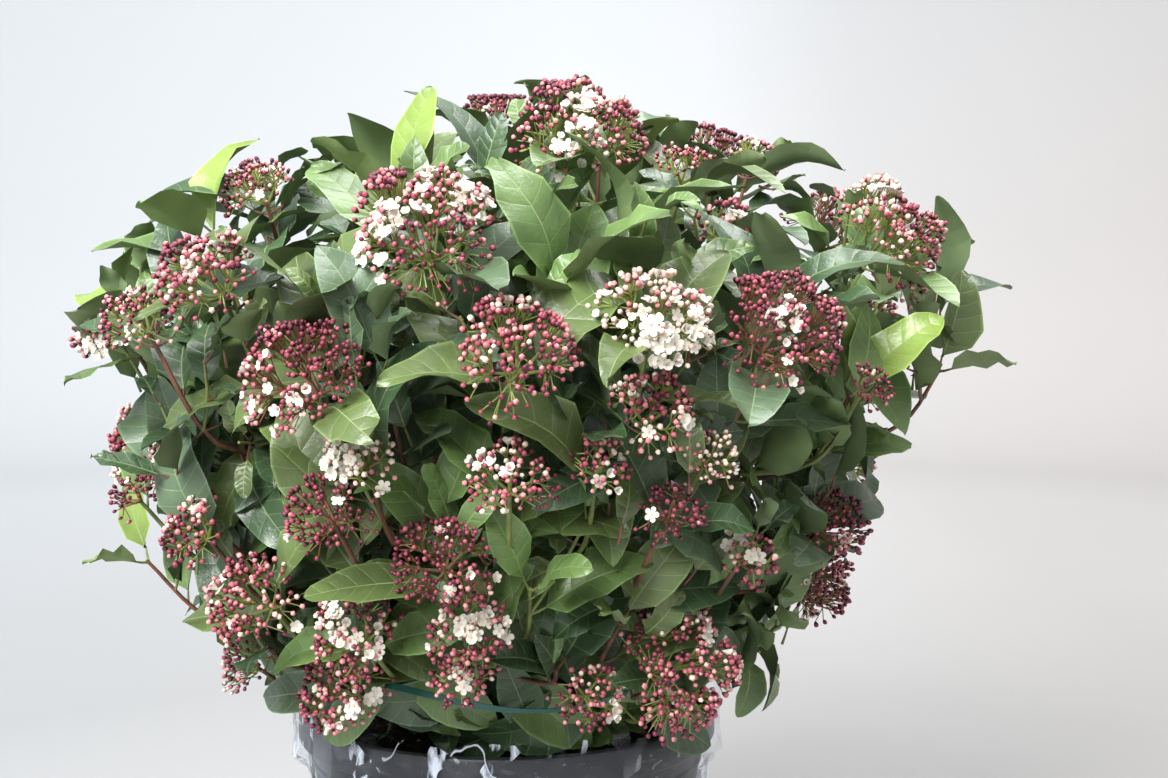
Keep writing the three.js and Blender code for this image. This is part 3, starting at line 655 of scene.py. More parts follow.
VEINS = np.array([0.12, 0.27, 0.42, 0.57, 0.72])
VEIN_WIDTH = 0.0085
TIP_ROWS = [0.86, 0.95, 1.0]
VEE = {"depth": 0.62, "curve": 1.15}
COLUMNS = np.array([-1, -0.55, 0, 0, 0.55, 1])
LOWER_COLUMNS = [1, 2, 4]
# What is drawn for each blade, in this order, from its range
BLADE = {"wide": (0.21, 0.285), "tip": (0.5, 0.85), "fold": (0.02, 0.4), "arch": (0.03, 0.25),
         "sweep": (-0.12, 0.12), "wave": (0.6, 2.9), "beats": (1.3, 3.1), "phase": (0, TAU),
         "twist": (-0.4, 0.4), "cup": (-0.16, 0.26)}
BLADE_ROOT = 0.55
RIB = {"half": 0.55, "taper": 0.4, "sides": np.array([0, 0, -1, 1, 0, 0])}
BLADE_DEPTHS = np.array([0.3, 0.75, 0.3])


def blade_grid():
    """The row, the share along and the share across of each point of a blade's upper side."""
    rows = [0.0]
    for vein in VEINS:
        rows += [vein - VEIN_WIDTH / 2, vein + VEIN_WIDTH / 2]
    rows = np.array(rows + TIP_ROWS)[:, None]
    along = rows + VEE["depth"] * (rows * (1 - rows)) * np.abs(COLUMNS) ** VEE["curve"]
    return np.broadcast_to(rows, along.shape), along, np.broadcast_to(COLUMNS, along.shape)


def blade_marks():
    """Where each point of a blade lies in the pattern of its veins: its row and its share across."""
    rows, _, across = blade_grid()
    upper = np.stack([rows, across, 0 * rows], -1)
    return np.concatenate([upper.reshape(-1, 3), upper[:, LOWER_COLUMNS].reshape(-1, 3)])


def blade_faces():
    """The faces of a blade and their material numbers: 0 blade, 1 midrib, 2 side veins and 3 underside."""
    rows, columns = blade_grid()[0].shape
    upper = np.arange(rows * columns).reshape(rows, columns)
    under = rows * columns + np.arange(rows * 3).reshape(rows, 3)
    lower = np.column_stack([upper[:, 0], under, upper[:, -1]])
    faces, slots = [], []
    for row in range(rows - 1):
        for n in range(columns - 1):
            faces.append((upper[row, n], upper[row, n + 1], upper[row + 1, n + 1], upper[row + 1, n]))
            slots.append(1 if n == 2 else 2 * (row % 2) * (row < rows - len(TIP_ROWS)))
    for row in range(rows - 1):
        for n in range(4):
            faces.append((lower[row, n], lower[row + 1, n], lower[row + 1, n + 1], lower[row, n + 1]))
            slots.append(3)
    return np.array(faces), np.array(slots)


def half_width(along, tip):
    """A blade's half width at a share of its length, of its widest. tip is how far its tip is drawn out."""
    widest = BLADE_ROOT / (BLADE_ROOT + tip)
    shape = np.clip(along, 0, 1) ** BLADE_ROOT * np.clip(1 - along, 0, 1) ** tip
    return shape / (widest ** BLADE_ROOT * (1 - widest) ** tip)


def blades(leaves, stream):
    """The points of many blades at once, each bent, folded, waved and twisted in its own way."""
    _, along, across = blade_grid()
    count = len(leaves)
    root, way, face = (np.array([leaf[part] for leaf in leaves])[:, None, None]
                       for part in ("root", "way", "face"))
    aside = np.cross(way, face)
    length = np.array([leaf["length"] - MORE["petiole"] for leaf in leaves])[:, None, None]
    drawn = {part: stream.uniform(*limits, count)[:, None, None] for part, limits in BLADE.items()}
    wide = drawn["wide"] * length
    a = np.broadcast_to(along, (count, *along.shape))
    s = np.broadcast_to(across, a.shape)
    width = wide * half_width(a, drawn["tip"]) * s + RIB["sides"] * (RIB["half"] - RIB["taper"] * a)
    size = np.abs(width)
    arched = drawn["arch"] * length * (np.sin(np.pi * a * 0.9) - a)
    folded = drawn["fold"] * size + drawn["cup"] * size ** 2 / wide
    waved = drawn["wave"] * s ** 2 * np.sin(TAU * drawn["beats"] * a + drawn["phase"] + 1.3 * np.sign(s))
    height = (arched + folded + waved)[..., None]
    turn = (drawn["twist"] * a)[..., None]
    across_way = aside * np.cos(turn) + face * np.sin(turn)
    up_way = face * np.cos(turn) - aside * np.sin(turn)
    side = (width + drawn["sweep"] * length * a ** 2)[..., None]
    start = root + way * MORE["petiole"]
    upper = start + way * (a * length)[..., None] + across_way * side + up_way * height
    middle = upper[:, :, 2:4].mean(2, keepdims=True)
    inner = np.concatenate([upper[:, :, 1:2], middle, upper[:, :, 4:5]], axis=2)
    depths = BLADE_DEPTHS * np.sqrt(np.clip(1 - along[:, :1], 0.02, 1))
    lower = inner - up_way[:, :, 1:4] * depths[None, :, :, None]
    return np.concatenate([upper.reshape(count, -1, 3), lower.reshape(count, -1, 3)], axis=1)


def repeat_faces(faces, slots, count, size):
    """The faces of a shape for many copies of it, of so many points each."""
    starts = (np.arange(count) * size)[:, None, None]
    return (faces[None] + starts).reshape(-1, faces.shape[1]), np.tile(slots, count)


# Flower heads

def frames_along(ways, stream):
    """Three crosswise directions for each way, turned at random about it."""
    ways = ways / np.linalg.norm(ways, axis=1)[:, None]
    aside = stream.normal(size=ways.shape)
    first = np.cross(ways, aside)
    first /= np.linalg.norm(first, axis=1)[:, None]
    return np.stack([first, np.cross(ways, first), ways], axis=1)


def scattered(width, count, stream):
    """The places of flowers over a head, in a round that is a little lobed."""
    n = np.arange(count)
    turn = n * math.radians(GOLDEN_TURN)
    phases = stream.uniform(0, TAU, 2)
    twos, threes = FLOWERS["lobes"]
    lobed = 1 + twos * np.sin(2 * turn + phases[0]) + threes * np.sin(3 * turn + phases[1])
    out = FLOWERS["reach"] * width * np.sqrt((n + 0.5) / count) * lobed
    x = out * np.cos(turn) + stream.normal(0, FLOWERS["jitter"], count)
    y = out * np.sin(turn) + stream.normal(0, FLOWERS["jitter"], count)
    return x, y


def cluster_spots(width, stream):
    """The middles of a head's clusters: one at its own middle and a ring of them round it."""
    spots = [(0.0, 0.0)] if width > CLUSTERS["middleFrom"] else []
    ring = CLUSTERS["most"] - 1 - (width < CLUSTERS["allFrom"])
    for k in range(ring):
        angle = TAU * (k + CLUSTERS["swing"] * stream.uniform(-1, 1)) / ring
        aside = width * stream.uniform(*CLUSTERS["out"])
        spots.append((aside * math.cos(angle), aside * math.sin(angle)))
    return np.array(spots)


def kinds_of_flowers(shares, cluster, clusters, stream):
    """The kind of each flower, by the shares of the kinds. Those of one cluster are mostly alike."""
    count = len(cluster)
    score = 0.5 * stream.uniform(0, 1, clusters)[cluster] + 0.5 * stream.uniform(0, 1, count)
    rank = score.argsort().argsort() / count
    return np.searchsorted(np.cumsum(shares), rank, side="right").clip(0, len(FLOWER_KINDS) - 1)


def head_flowers(shoot, stream):
    """The flowers of a head: the place, way and kind of each, and the clusters that they are in."""
    end, facing, width = shoot["curve"].at(1), shoot["nodding"], shoot["width"]
    shares, size, _ = BLOOMS[shoot["bloom"]]
    count = int(FLOWERS["cover"] * (width / (FLOWERS["spacing"] * (0.55 + 0.45 * size))) ** 2)
    first, second = crosswise(facing, [0.31, 0.47, 0.12])
    x, y = scattered(width, count, stream)
    spots = cluster_spots(width, stream)
    lift = stream.uniform(-CLUSTERS["lift"], CLUSTERS["lift"], len(spots)) * width
    gaps = np.hypot(x[:, None] - spots[:, 0], y[:, None] - spots[:, 1])
    cluster = gaps.argmin(1)
    near = gaps.min(1) / (CLUSTERS["radius"] * width)
    far = np.hypot(x, y) / (0.5 * width)
    gather = CLUSTERS["gather"] * (1 - 0.5 * far)
    x += gather * (spots[cluster, 0] - x)
    y += gather * (spots[cluster, 1] - y)
    dome = HEAD["funnel"] + HEAD["dome"] * (1 - far ** DOME["round"])
    dome = dome - DOME["edge"] * np.clip(far, 0, 1.1) ** DOME["edgeRound"]
    z = dome * width + CLUSTERS["bump"] * width * np.clip(0.55 - near ** 2, -0.5, 0.55) + lift[cluster]
    highest = (HEAD["funnel"] + HEAD["dome"] + DOME["over"]) * width
    z = np.minimum(z + stream.normal(0, FLOWERS["jitterUp"], count), highest)

    def aside(start, x, y):
        return start + first * x[:, None] + second * y[:, None]
    fan = FLOWERS["fan"] / (0.5 * width)
    ways = aside(facing, x * fan, y * fan) + stream.normal(0, FLOWERS["stray"], (count, 3))
    nodes = aside(end, *(CLUSTERS["nodeOut"] * spots.T)) + facing * (CLUSTERS["nodeUp"] * width)
    return {"place": aside(end, x, y) + facing * z[:, None], "ways": ways, "nodes": nodes, "size": size,
            "kinds": kinds_of_flowers(shares, cluster, len(spots), stream), "cluster": cluster,
            "middle": np.arctan2(y - spots[cluster, 1], x - spots[cluster, 0])}


def head_stalks(parts, shoot, head):
    """The rays of a head: from the shoot to each cluster, on to each group in it, and to each flower."""
    end, facing, width = shoot["curve"].at(1), shoot["nodding"], shoot["width"]
    for number, node in enumerate(head["nodes"]):
        ray = [end - facing * 1.5, lerp(end, node, 0.5) - facing * 0.02 * width, node]
        add_tube(parts, ray, STALK_RADII["ray"], 5)
        members = np.flatnonzero(head["cluster"] == number)
        members = members[head["middle"][members].argsort()]
        groups = max(1, round(len(members) / FLOWERS["perStalk"]))
        for group in np.array_split(members, groups):
            if not len(group):
                continue
            joint = lerp(node, head["place"][group].mean(0), 0.5)
            add_tube(parts, [node, joint], STALK_RADII["group"], 4)
            for flower in group:
                add_tube(parts, [joint, head["place"][flower]], STALK_RADII["flower"], 3)


def turned_shape(rings, sides):
    """A small round closed shape about its own axis, from (radius, height) rings between two poles.

    Its faces below the second ring take material 0, and the others material 1."""
    turns = np.arange(sides) * TAU / sides
    points = [[0, 0, rings[0][1]]]
    for radius, height in rings[1:-1]:
        points += [[radius * math.cos(t), radius * math.sin(t), height] for t in turns]
    points.append([0, 0, rings[-1][1]])
    faces = []
    for row in range(len(rings) - 3):
        for n in range(sides):
            a, b = 1 + row * sides + n, 1 + row * sides + (n + 1) % sides
            faces += [(a, b, b + sides), (a, b + sides, a + sides)]
    last = len(points) - 1
    for n in range(sides):
        after = (n + 1) % sides
        faces.append((last, last - sides + n, last - sides + after))
    faces += [(0, 1 + (n + 1) % sides, 1 + n) for n in range(sides)]
    slots = np.ones(len(faces), int)
    slots[-sides:] = 0
    slots[:2 * sides] = 0
    return np.array(points), np.array(faces), slots


LOBE = ((0.0, 0.6), (1.5, 1.2), (3.3, 1.7), (4.5, 0.8))
LOBE_MIDDLE = 2.6
TUBE_FOOT = (0, 0, -2.2)


def star_shape(dish, spread):
    """An open flower: five rounded lobes on a short tube. dish is how steeply they rise."""
    points, faces = [], []
    outline = [(spread * radius, across) for radius, across in LOBE]
    row = [(radius, -across, 0.3 + dish * radius + 0.12 * across) for radius, across in outline]
    row += [(radius, -across, height) for radius, across, height in reversed(row)]
    corners = len(row)
    row.append((LOBE_MIDDLE * spread, 0.0, 0.2 + 2.3 * dish))
    for n in range(5):
        start = len(points)
        turn = TAU * n / 5
        for radius, across, height in row:
            points.append((radius * math.cos(turn) - across * math.sin(turn),
                           radius * math.sin(turn) + across * math.cos(turn), height))
        faces += [(start + corners, start + k, start + (k + 1) % corners) for k in range(corners)]
    base = len(points)
    points.append(TUBE_FOOT)
    for n in range(5):
        start, following = n * len(row), (n + 1) % 5 * len(row)
        faces += [(base, start + k + 1, start + k) for k in range(corners - 1)]
        faces.append((base, following, start + corners - 1))
    return np.array(points), np.array(faces), np.ones(len(faces), int)


# The shapes of a bud, a flower's eye and three open flowers, from flat to half shut
BUD_SHAPE = turned_shape([(0, -0.6), (1.3, 0.7), (1.75, 2.1), (1.25, 3.6), (0, 4.2)], 5)
EYE_SHAPE = turned_shape([(0, 0.2), (0.9, 0.5), (0, 1.5)], 5)
STAR_SHAPES = (star_shape(0.06, 1.0), star_shape(0.45, 0.86), star_shape(1.3, 0.6))


def stamped(shape, places, frames, sizes):
    """Copies of a shape at places, in frames, at sizes, as one part."""
    points, faces, slots = shape
    scaled = points[None] * sizes[:, None, None]
    moved = np.einsum("npk,nkj->npj", scaled, frames) + places[:, None]
    all_faces, all_slots = repeat_faces(faces, slots, len(places), len(points))
    return moved.reshape(-1, 3), all_faces, all_slots


# Materials

class Wire:
    """A number that a material works out. A sum on wires adds the Math nodes for it."""

    def __init__(self, look, socket):
        self.look, self.socket = look, socket

    def __add__(self, other):
        return self.look.math("ADD", self, other)

    def __sub__(self, other):
        return self.look.math("SUBTRACT", self, other)

    def __rsub__(self, other):
        return self.look.math("SUBTRACT", other, self)

    def __mul__(self, other):
        return self.look.math("MULTIPLY", self, other)

    def __pow__(self, other):
        return self.look.math("POWER", self, other)

    __radd__, __rmul__ = __add__, __mul__


class Look:
    """The node tree of one material."""

    def __init__(self, name):
        self.material = bpy.data.materials.new(name)
        self.material.use_nodes = True
        self.tree = self.material.node_tree
        self.tree.nodes.clear()
        self.place = self.node("ShaderNodeTexCoord", {}, {})["Object"]

    def node(self, kind, settings, sockets):
        """Adds a node from its type, its settings and the values or wires of its sockets.

        Returns its outputs by name."""
        made = self.tree.nodes.new(kind)
        for name, value in settings.items():
            if name == "stops":
                self.set_stops(made.color_ramp, value)
            else:
                setattr(made, name, value)
        for name, value in sockets.items():
            if isinstance(value, Wire):
                self.tree.links.new(value.socket, made.inputs[name])
            else:
                made.inputs[name].default_value = value
        return {output.name: Wire(self, output) for output in made.outputs if output.enabled}

    def math(self, operation, *values):
        return self.node("ShaderNodeMath", {"operation": operation}, dict(enumerate(values)))["Value"]

    @staticmethod
    def set_stops(ramp, stops):
        while len(ramp.elements) < len(stops):
            ramp.elements.new(1)
        for element, (position, grey) in zip(ramp.elements, stops):
            element.position = position
            element.color = (grey, grey, grey, 1)

    def noise(self, scale, detail=3, rough=0.5, stretch=(1, 1, 1)):
        place = self.node("ShaderNodeMapping", {}, {"Vector": self.place, "Scale": stretch})["Vector"]
        return self.node("ShaderNodeTexNoise", {}, {
            "Vector": place, "Scale": scale, "Detail": detail, "Roughness": rough})["Fac"]

    def steps(self, value, *stops):
        """Maps a number through a ramp of (position, grey) stops."""
        return self.node("ShaderNodeValToRGB", {"stops": stops}, {"Fac": value})["Color"]

    def blend(self, share, first, second):
        """A colour between two, by a share."""
        return self.node("ShaderNodeMix", {"data_type": "RGBA"}, {0: share, 6: first, 7: second})["Result"]

    def bump(self, height, strength, distance):
        return self.node("ShaderNodeBump", {}, {
            "Height": height, "Strength": strength, "Distance": distance})["Normal"]

    def surface(self, **sockets):
        """Ends the tree in one Principled shader. Underscores in the names stand for spaces."""
        named = {name.replace("_", " "): value for name, value in sockets.items()}
        shader = self.node("ShaderNodeBsdfPrincipled", {}, named)["BSDF"]
        return self.end(shader)

    def end(self, shader):
        self.node("ShaderNodeOutputMaterial", {}, {"Surface": shader})
        return self.material


def mixed(first, second, share):
    return tuple(lerp(a, b, share) for a, b in zip(first, second))


def shade(colour, factor):
    return (*(min(1, channel * factor) for channel in colour[:3]), 1)


def leaf_look(name, colour, roughness=0.36):
    look = Look(name)
    patches = look.noise(24, 3)
    marks = look.node("ShaderNodeAttribute", {"attribute_name": "blade"}, {})["Vector"]
    marks = look.node("ShaderNodeSeparateXYZ", {}, {"Vector": marks})
    beat = (marks["X"] - VEINS[0]) * (math.pi / (VEINS[1] - VEINS[0]))
    between_veins = look.math("POWER", look.math("ABSOLUTE", look.math("SINE", beat)), 0.6)
    quilt = between_veins * (1 - 0.5 * marks["Y"] ** 2)
    pores = look.noise(420, 3)
    tint = look.blend(look.steps(patches, (0.35, 0), (0.68, 1)), shade(colour, 0.72), shade(colour, 1.3))
    rough = 0.34 * look.noise(70, 3) + (roughness - 0.18)
    edge = look.steps(look.math("ABSOLUTE", marks["Y"]), (0.9, 0), (0.98, 1))
    tint = look.blend(0.4 * edge, tint, shade(colour, 2.6))
    normal = look.bump(0.35 * pores + 0.25 * look.noise(110, 2) + 0.45 * quilt, 0.7, 0.0011)
    return look.surface(Base_Color=tint, Roughness=rough, Normal=normal, IOR=1.55)


def two_tone_look(name, noise, stops, tones, roughness, relief):
    """A material of two tones, mixed by a noise between two stops, with a fine relief."""
    look = Look(name)
    share = look.noise(*noise)
    if stops:
        share = look.steps(share, (stops[0], 0), (stops[1], 1))
    scale, detail, strength, depth = relief
    normal = look.bump(look.noise(scale, detail), strength, depth)
    return look.surface(Base_Color=look.blend(share, *tones), Roughness=roughness, Normal=normal)


def underside_look(name, colour):
    tones = shade(colour, 0.85), shade(colour, 1.15)
    return two_tone_look(name, (60, 3), None, tones, 0.62, (700, 2, 0.25, 0.0004))


def stalk_look(name, colour, dark):
    tones = shade(dark, 1), shade(colour, 1)
    return two_tone_look(name, (120, 3, 0.6, (1, 1, 0.25)), (0.38, 0.66), tones, 0.5, (500, 2, 0.3, 0.0004))


def bud_look(name, colour, other):
    tones = shade(colour, 1), shade(other, 1)
    return two_tone_look(name, (190, 2), (0.4, 0.62), tones, 0.46, (900, 1, 0.15, 0.0003))


def petal_look(name, colour):
    tones = shade(colour, 1), shade(colour, 0.9)
    return two_tone_look(name, (150, 2), (0.45, 0.8), tones, 0.55, (600, 2, 0.2, 0.0003))


def bark_look():
    look = Look("bark")
    ridges = look.noise(90, 6, 0.65, (1, 1, 0.22))
    flecks = look.steps(look.noise(300, 2), (0.62, 0), (0.7, 1))
    tint = look.blend(look.steps(ridges, (0.35, 0), (0.7, 1)), (0.05, 0.028, 0.018, 1), (0.22, 0.14, 0.09, 1))
    tint = look.blend(flecks * 0.5, tint, (0.36, 0.28, 0.21, 1))
    height = ridges + 0.4 * flecks
    return look.surface(Base_Color=tint, Roughness=0.7 + 0.2 * ridges, Normal=look.bump(height, 0.7, 0.0015))


def pot_look(colour):
    look = Look("pot_plastic")
    dust = look.steps(look.noise(16, 6, 0.7), (0.5, 0), (0.85, 1))
    scuffs = look.steps(look.noise(50, 3, 0.6, (1, 1, 4)), (0.58, 0), (0.74, 1))
    specks = look.steps(look.noise(300, 1), (0.74, 0), (0.78, 1))
    tint = look.blend(0.25 * dust + 0.2 * scuffs + 0.3 * specks, (*colour, 1), (0.34, 0.35, 0.37, 1))
    rough = 0.34 + 0.22 * dust + 0.2 * scuffs
    return look.surface(Base_Color=tint, Roughness=rough, Normal=look.bump(look.noise(45, 2), 0.1, 0.0006))


def compost_look():
    look = Look("compost")
    crumbs = look.noise(210, 6, 0.7)
    bits = look.steps(look.noise(330, 1), (0.66, 0), (0.7, 1))
    tint = look.blend(look.steps(crumbs, (0.3, 0), (0.7, 1)), (0.012, 0.008, 0.006, 1), (0.1, 0.06, 0.035, 1))
    tint = look.blend(0.6 * bits, tint, (0.42, 0.38, 0.32, 1))
    return look.surface(Base_Color=tint, Roughness=0.95, Normal=look.bump(crumbs, 1, 0.003))


def film_look():
    """Clear film: see-through, with a few panes painted pale as a reflection, and thin creases and glints
    painted white as highlights where it is crushed.
    """
    look = Look("clear_film")
    crushed = look.steps(look.noise(8, 2, 0.6), (0.42, 0), (0.52, 1))
    stir = look.node("ShaderNodeTexNoise", {}, {"Vector": look.place, "Scale": 30, "Detail": 2})["Color"]
    shaken = look.node("ShaderNodeVectorMath", {"operation": "MULTIPLY_ADD"}, {
        0: stir, 1: (0.03, 0.03, 0.05), 2: look.place})["Vector"]
    panes = look.node("ShaderNodeTexVoronoi", {}, {"Vector": shaken, "Scale": 56})["Color"]
    panes = look.node("ShaderNodeSeparateColor", {}, {"Color": panes})
    folds = look.noise(30, 2, 0.5, (1, 1, 0.6))
    # Painted highlights: thin white lines along the folds on some panes, where the film is crushed
    lines = look.steps(look.math("ABSOLUTE", folds - 0.5), (0, 1), (0.009, 0))
    lines = lines * look.steps(panes["Blue"], (0.45, 0), (0.48, 1))
    # Painted glints: white streaks on a few panes
    painted_glint_streaks = look.steps(look.noise(110, 3, 0.6, (1, 1, 0.3)), (0.44, 0), (0.6, 1))
    painted_glints = look.steps(panes["Red"], (0.8, 0), (0.82, 1)) * painted_glint_streaks
    # Panes painted pale as a reflection in the white shader; they also take a little more of the real gloss
    pane_gloss_and_painted_sheen = look.steps(panes["Green"], (0.68, 0), (0.72, 1))
    pane_gloss_and_painted_sheen = pane_gloss_and_painted_sheen * look.steps(look.noise(12, 2), (0.4, 0), (0.6, 1))
    clear = look.node("ShaderNodeBsdfTransparent", {}, {"Color": (0.985, 0.99, 0.995, 1)})["BSDF"]
    gloss = look.node("ShaderNodeBsdfPrincipled", {}, {
        "Base Color": (0.96, 0.98, 1, 1), "Metallic": 1.0, "Roughness": 0.22,
        "Normal": look.bump(folds, 0.8, 0.01)})["BSDF"]
    # The bluish white that the film's highlights and reflections are painted in
    white = look.node("ShaderNodeBsdfPrincipled", {}, {
        "Base Color": (0.72, 0.79, 0.88, 1), "Roughness": 0.5})["BSDF"]
    edge = look.node("ShaderNodeLayerWeight", {}, {"Blend": 0.3})["Facing"]
    sheen = 0.03 * pane_gloss_and_painted_sheen + 0.4 * edge ** 4
    # How much of the film is painted white as highlights and reflections
    painted_highlight_share = crushed * (0.6 * lines + 0.85 * painted_glints) + 0.045 * pane_gloss_and_painted_sheen
    shine = look.node("ShaderNodeMixShader", {}, {0: sheen, 1: clear, 2: gloss})["Shader"]
    return look.end(look.node("ShaderNodeMixShader", {}, {0: painted_highlight_share, 1: shine, 2: white})["Shader"])


def tie_look(colour):
    look = Look("tie_plastic")
    lines = look.noise(900, 2, 0.5, (1, 1, 0.1))
    tint = look.blend(lines, shade(colour, 0.7), shade(colour, 1.25))
    normal = look.bump(lines, 0.3, 0.0004)
    return look.surface(Base_Color=tint, Roughness=0.38, Normal=normal, Coat_Weight=0.2)


# How light the floor is painted by its distance and from left to right, as painted light and shade, and its
# painted tints of the light at the left and right
FLOOR_PAINTED_LIGHT_BY_DISTANCE = ((0.19, 0.36), (0.24, 0.4), (0.31, 0.46), (0.4, 0.56), (0.54, 0.715),
                     (0.64, 0.765), (0.7, 0.79), (0.76, 0.836))
FLOOR_PAINTED_LIGHT_ACROSS = ((0, 0.85), (0.5, 1), (0.62, 0.98), (0.75, 0.84), (1, 0.755))
FLOOR_PAINTED_LIGHT_TINTS = ((0.94, 0.97, 1, 1), (1, 0.968, 0.948, 1))


def floor_look():
    """A pale floor and wall with painted light and shade: lightest behind the plant, darker near it, painted
    cool at the left and the top and warm at the right.
    """
    look = Look("pale_floor")
    place = look.node("ShaderNodeSeparateXYZ", {}, {"Vector": look.place})
    aside = place["X"] * 0.3 + 0.5
    # Painted tints of the light: cool at the left and the top, warm at the right
    tint = look.blend(look.steps(aside - 0.3 * place["Z"], (0.2, 0), (0.8, 1)), *FLOOR_PAINTED_LIGHT_TINTS)
    away = (place["X"] ** 2 + place["Y"] ** 2) ** 0.5
    # Painted light and shade: darker near the plant and towards the sides, lighter far off
    share = look.steps(away * 0.2, *FLOOR_PAINTED_LIGHT_BY_DISTANCE) * look.steps(aside, *FLOOR_PAINTED_LIGHT_ACROSS)
    return look.surface(Base_Color=look.blend(share, (0, 0, 0, 1), tint), Roughness=0.9)


# Turning, bending and roughening a shape

def only(piece):
    """Selects one piece and makes it the active one."""
    bpy.ops.object.select_all(action="DESELECT")
    piece.select_set(True)
    bpy.context.view_layer.objects.active = piece


def turned(name, profile, sides, filled=True):
    """A round shell about +Z, drawn up ring by ring through (radius, height) points in metres."""
    bpy.ops.object.select_all(action="DESELECT")
    radius, height = profile[0]
    bpy.ops.mesh.primitive_circle_add(
        vertices=sides, radius=radius, location=(0, 0, height), fill_type="NGON" if filled else "NOTHING")
    piece = bpy.context.object
    piece.name = piece.data.name = name
    bpy.ops.object.transform_apply(location=True, rotation=True, scale=True)
    bpy.ops.object.mode_set(mode="EDIT")
    for (radius, height), (wider, higher) in zip(profile, profile[1:]):
        bpy.ops.mesh.extrude_region_move(TRANSFORM_OT_translate={"value": (0, 0, higher - height)})
        bpy.ops.transform.resize(value=(wider / radius, wider / radius, 1), center_override=(0, 0, higher))
    bpy.ops.mesh.select_all(action="SELECT")
    bpy.ops.mesh.normals_make_consistent(inside=False)
    bpy.ops.object.mode_set(mode="OBJECT")
    return piece


def modify(piece, kind, **settings):
    """Adds a modifier and applies it."""
    only(piece)
    modifier = piece.modifiers.new(kind.lower(), kind)
    for name, value in settings.items():
        setattr(modifier, name, value)
    bpy.ops.object.modifier_apply(modifier=modifier.name)


def move_points(piece, move):
    """Moves every point of a piece by a function of the array of places."""
    places = np.empty(len(piece.data.vertices) * 3, np.float32)
    piece.data.vertices.foreach_get("co", places)
    moved = move(places.reshape(-1, 3).astype(float))
    piece.data.vertices.foreach_set("co", moved.astype(np.float32).ravel())
    piece.data.update()


def grain(name, kind, size, **settings):
    """A procedural texture for a Displace modifier."""
    texture = bpy.data.textures.new(name, kind)
    texture.noise_scale = size
    for setting, value in settings.items():
        setattr(texture, setting, value)
    return texture


def bearing_of(places):
    return np.arctan2(places[:, 0], -places[:, 1])


def wall_radius(pot, height):
    """The radius of the pot's tapering wall outside, at a height."""
    return lerp(pot.foot_radius, pot.shoulder_radius, height / (pot.height - pot.rim_depth))


def tie_sag(bearing):
    return np.cos(TIE["sags"] * (bearing - math.radians(TIE["sagAt"])))


# Settings

def length_setting(name, description, default):
    return bpy.props.FloatProperty(
        name=name, description=description, default=default, min=0, subtype="DISTANCE", unit="LENGTH")


def colour_setting(name, description, default):
    return bpy.props.FloatVectorProperty(
        name=name, description=description, default=default, min=0, max=1, size=3, subtype="COLOR")


class PotSettings(bpy.types.PropertyGroup):
    height: length_setting("Height", "Height of the pot", 0.230)
    foot_radius: length_setting("Foot radius", "Outer radius at the foot", 0.105)
    shoulder_radius: length_setting("Shoulder radius", "Outer radius under the rim", 0.132)
    rim_radius: length_setting("Rim radius", "Outer radius of the rim", 0.140)
    rim_depth: length_setting("Rim depth", "Height of the rim's band", 0.022)
    wall: length_setting("Wall", "Thickness of the plastic", 0.0025)
    ribs: bpy.props.IntProperty(name="Ribs", description="Raised lines round the pot", default=3, min=0)
    colour: colour_setting("Colour", "Colour of the plastic", (0.028, 0.029, 0.034))


class WrapSettings(bpy.types.PropertyGroup):
    foot: length_setting("Foot", "Height of the film's lower edge", 0.004)
    top: length_setting("Top", "Height of the film's upper edge at the front", 0.240)
    foot_slack: length_setting("Foot slack", "How far the folds stand off at the foot", 0.008)
    rim_slack: length_setting("Rim slack", "How far the folds stand off at the rim", 0.0018)
    drawn_up: length_setting("Drawn up", "How far the edge rises inside the tie at the back", 0.024)
    crumple: length_setting("Crumple", "Depth of the creases", 0.005)
    folds: bpy.props.IntProperty(name="Folds", description="Folds round the pot", default=9, min=0)
    tie_colour: colour_setting("Tie colour", "Colour of the tie", (0.016, 0.105, 0.085))


class PlantSettings(bpy.types.PropertyGroup):
    bark_relief: length_setting("Bark relief", "Depth of the bark's ridges", 0.0012)
    dark: colour_setting("Dark leaves", "Colour of the older leaves", (0.042, 0.083, 0.034))
    middle: colour_setting("Middle leaves", "Colour of the leaves in between", (0.115, 0.190, 0.058))
    olive: colour_setting("Olive leaves", "Colour of the yellower leaves", (0.098, 0.142, 0.044))
    slate: colour_setting("Slate leaves", "Colour of the greyer leaves", (0.080, 0.128, 0.068))
    young: colour_setting("Young leaves", "Colour of the newest leaves", (0.20, 0.29, 0.06))
    underside: colour_setting("Undersides", "Colour of the leaves' lower side", (0.24, 0.32, 0.15))
    vein: colour_setting("Veins", "Colour of the leaves' midribs and veins", (0.36, 0.44, 0.2))
    petal: colour_setting("Petals", "Colour of the open flowers", (0.76, 0.71, 0.62))


class StageSettings(bpy.types.PropertyGroup):
    floor_radius: length_setting("Floor radius", "Radius of the flat floor", 3.2)
    wall_height: length_setting("Wall height", "Height of the backdrop round it", 3.0)
    key: bpy.props.FloatProperty(
        name="Key light", description="Power of the main light", default=138, min=0)
    fill: bpy.props.FloatProperty(
        name="Sky light", description="Strength of the light from all round", default=0.73, min=0)


# Operators

def finished(piece, slot, angle, *nodes):
    """Smooths a piece up to an angle and puts it on the body in place of its nodes. Its slot is not used."""
    only(piece)
    bpy.ops.object.shade_smooth_by_angle(angle=math.radians(angle))
    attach(piece, "root")
    if nodes:
        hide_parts(*nodes)


def grown(name, parts, looks, angle, *nodes):
    """A finished piece of leaves, stalks or flowers, made of many parts."""
    piece = mesh_piece(name, parts, looks)
    finished(piece, "foliage", angle, *nodes)
    return piece


def nodes_named(start):
    return sorted(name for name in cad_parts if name.startswith(start))


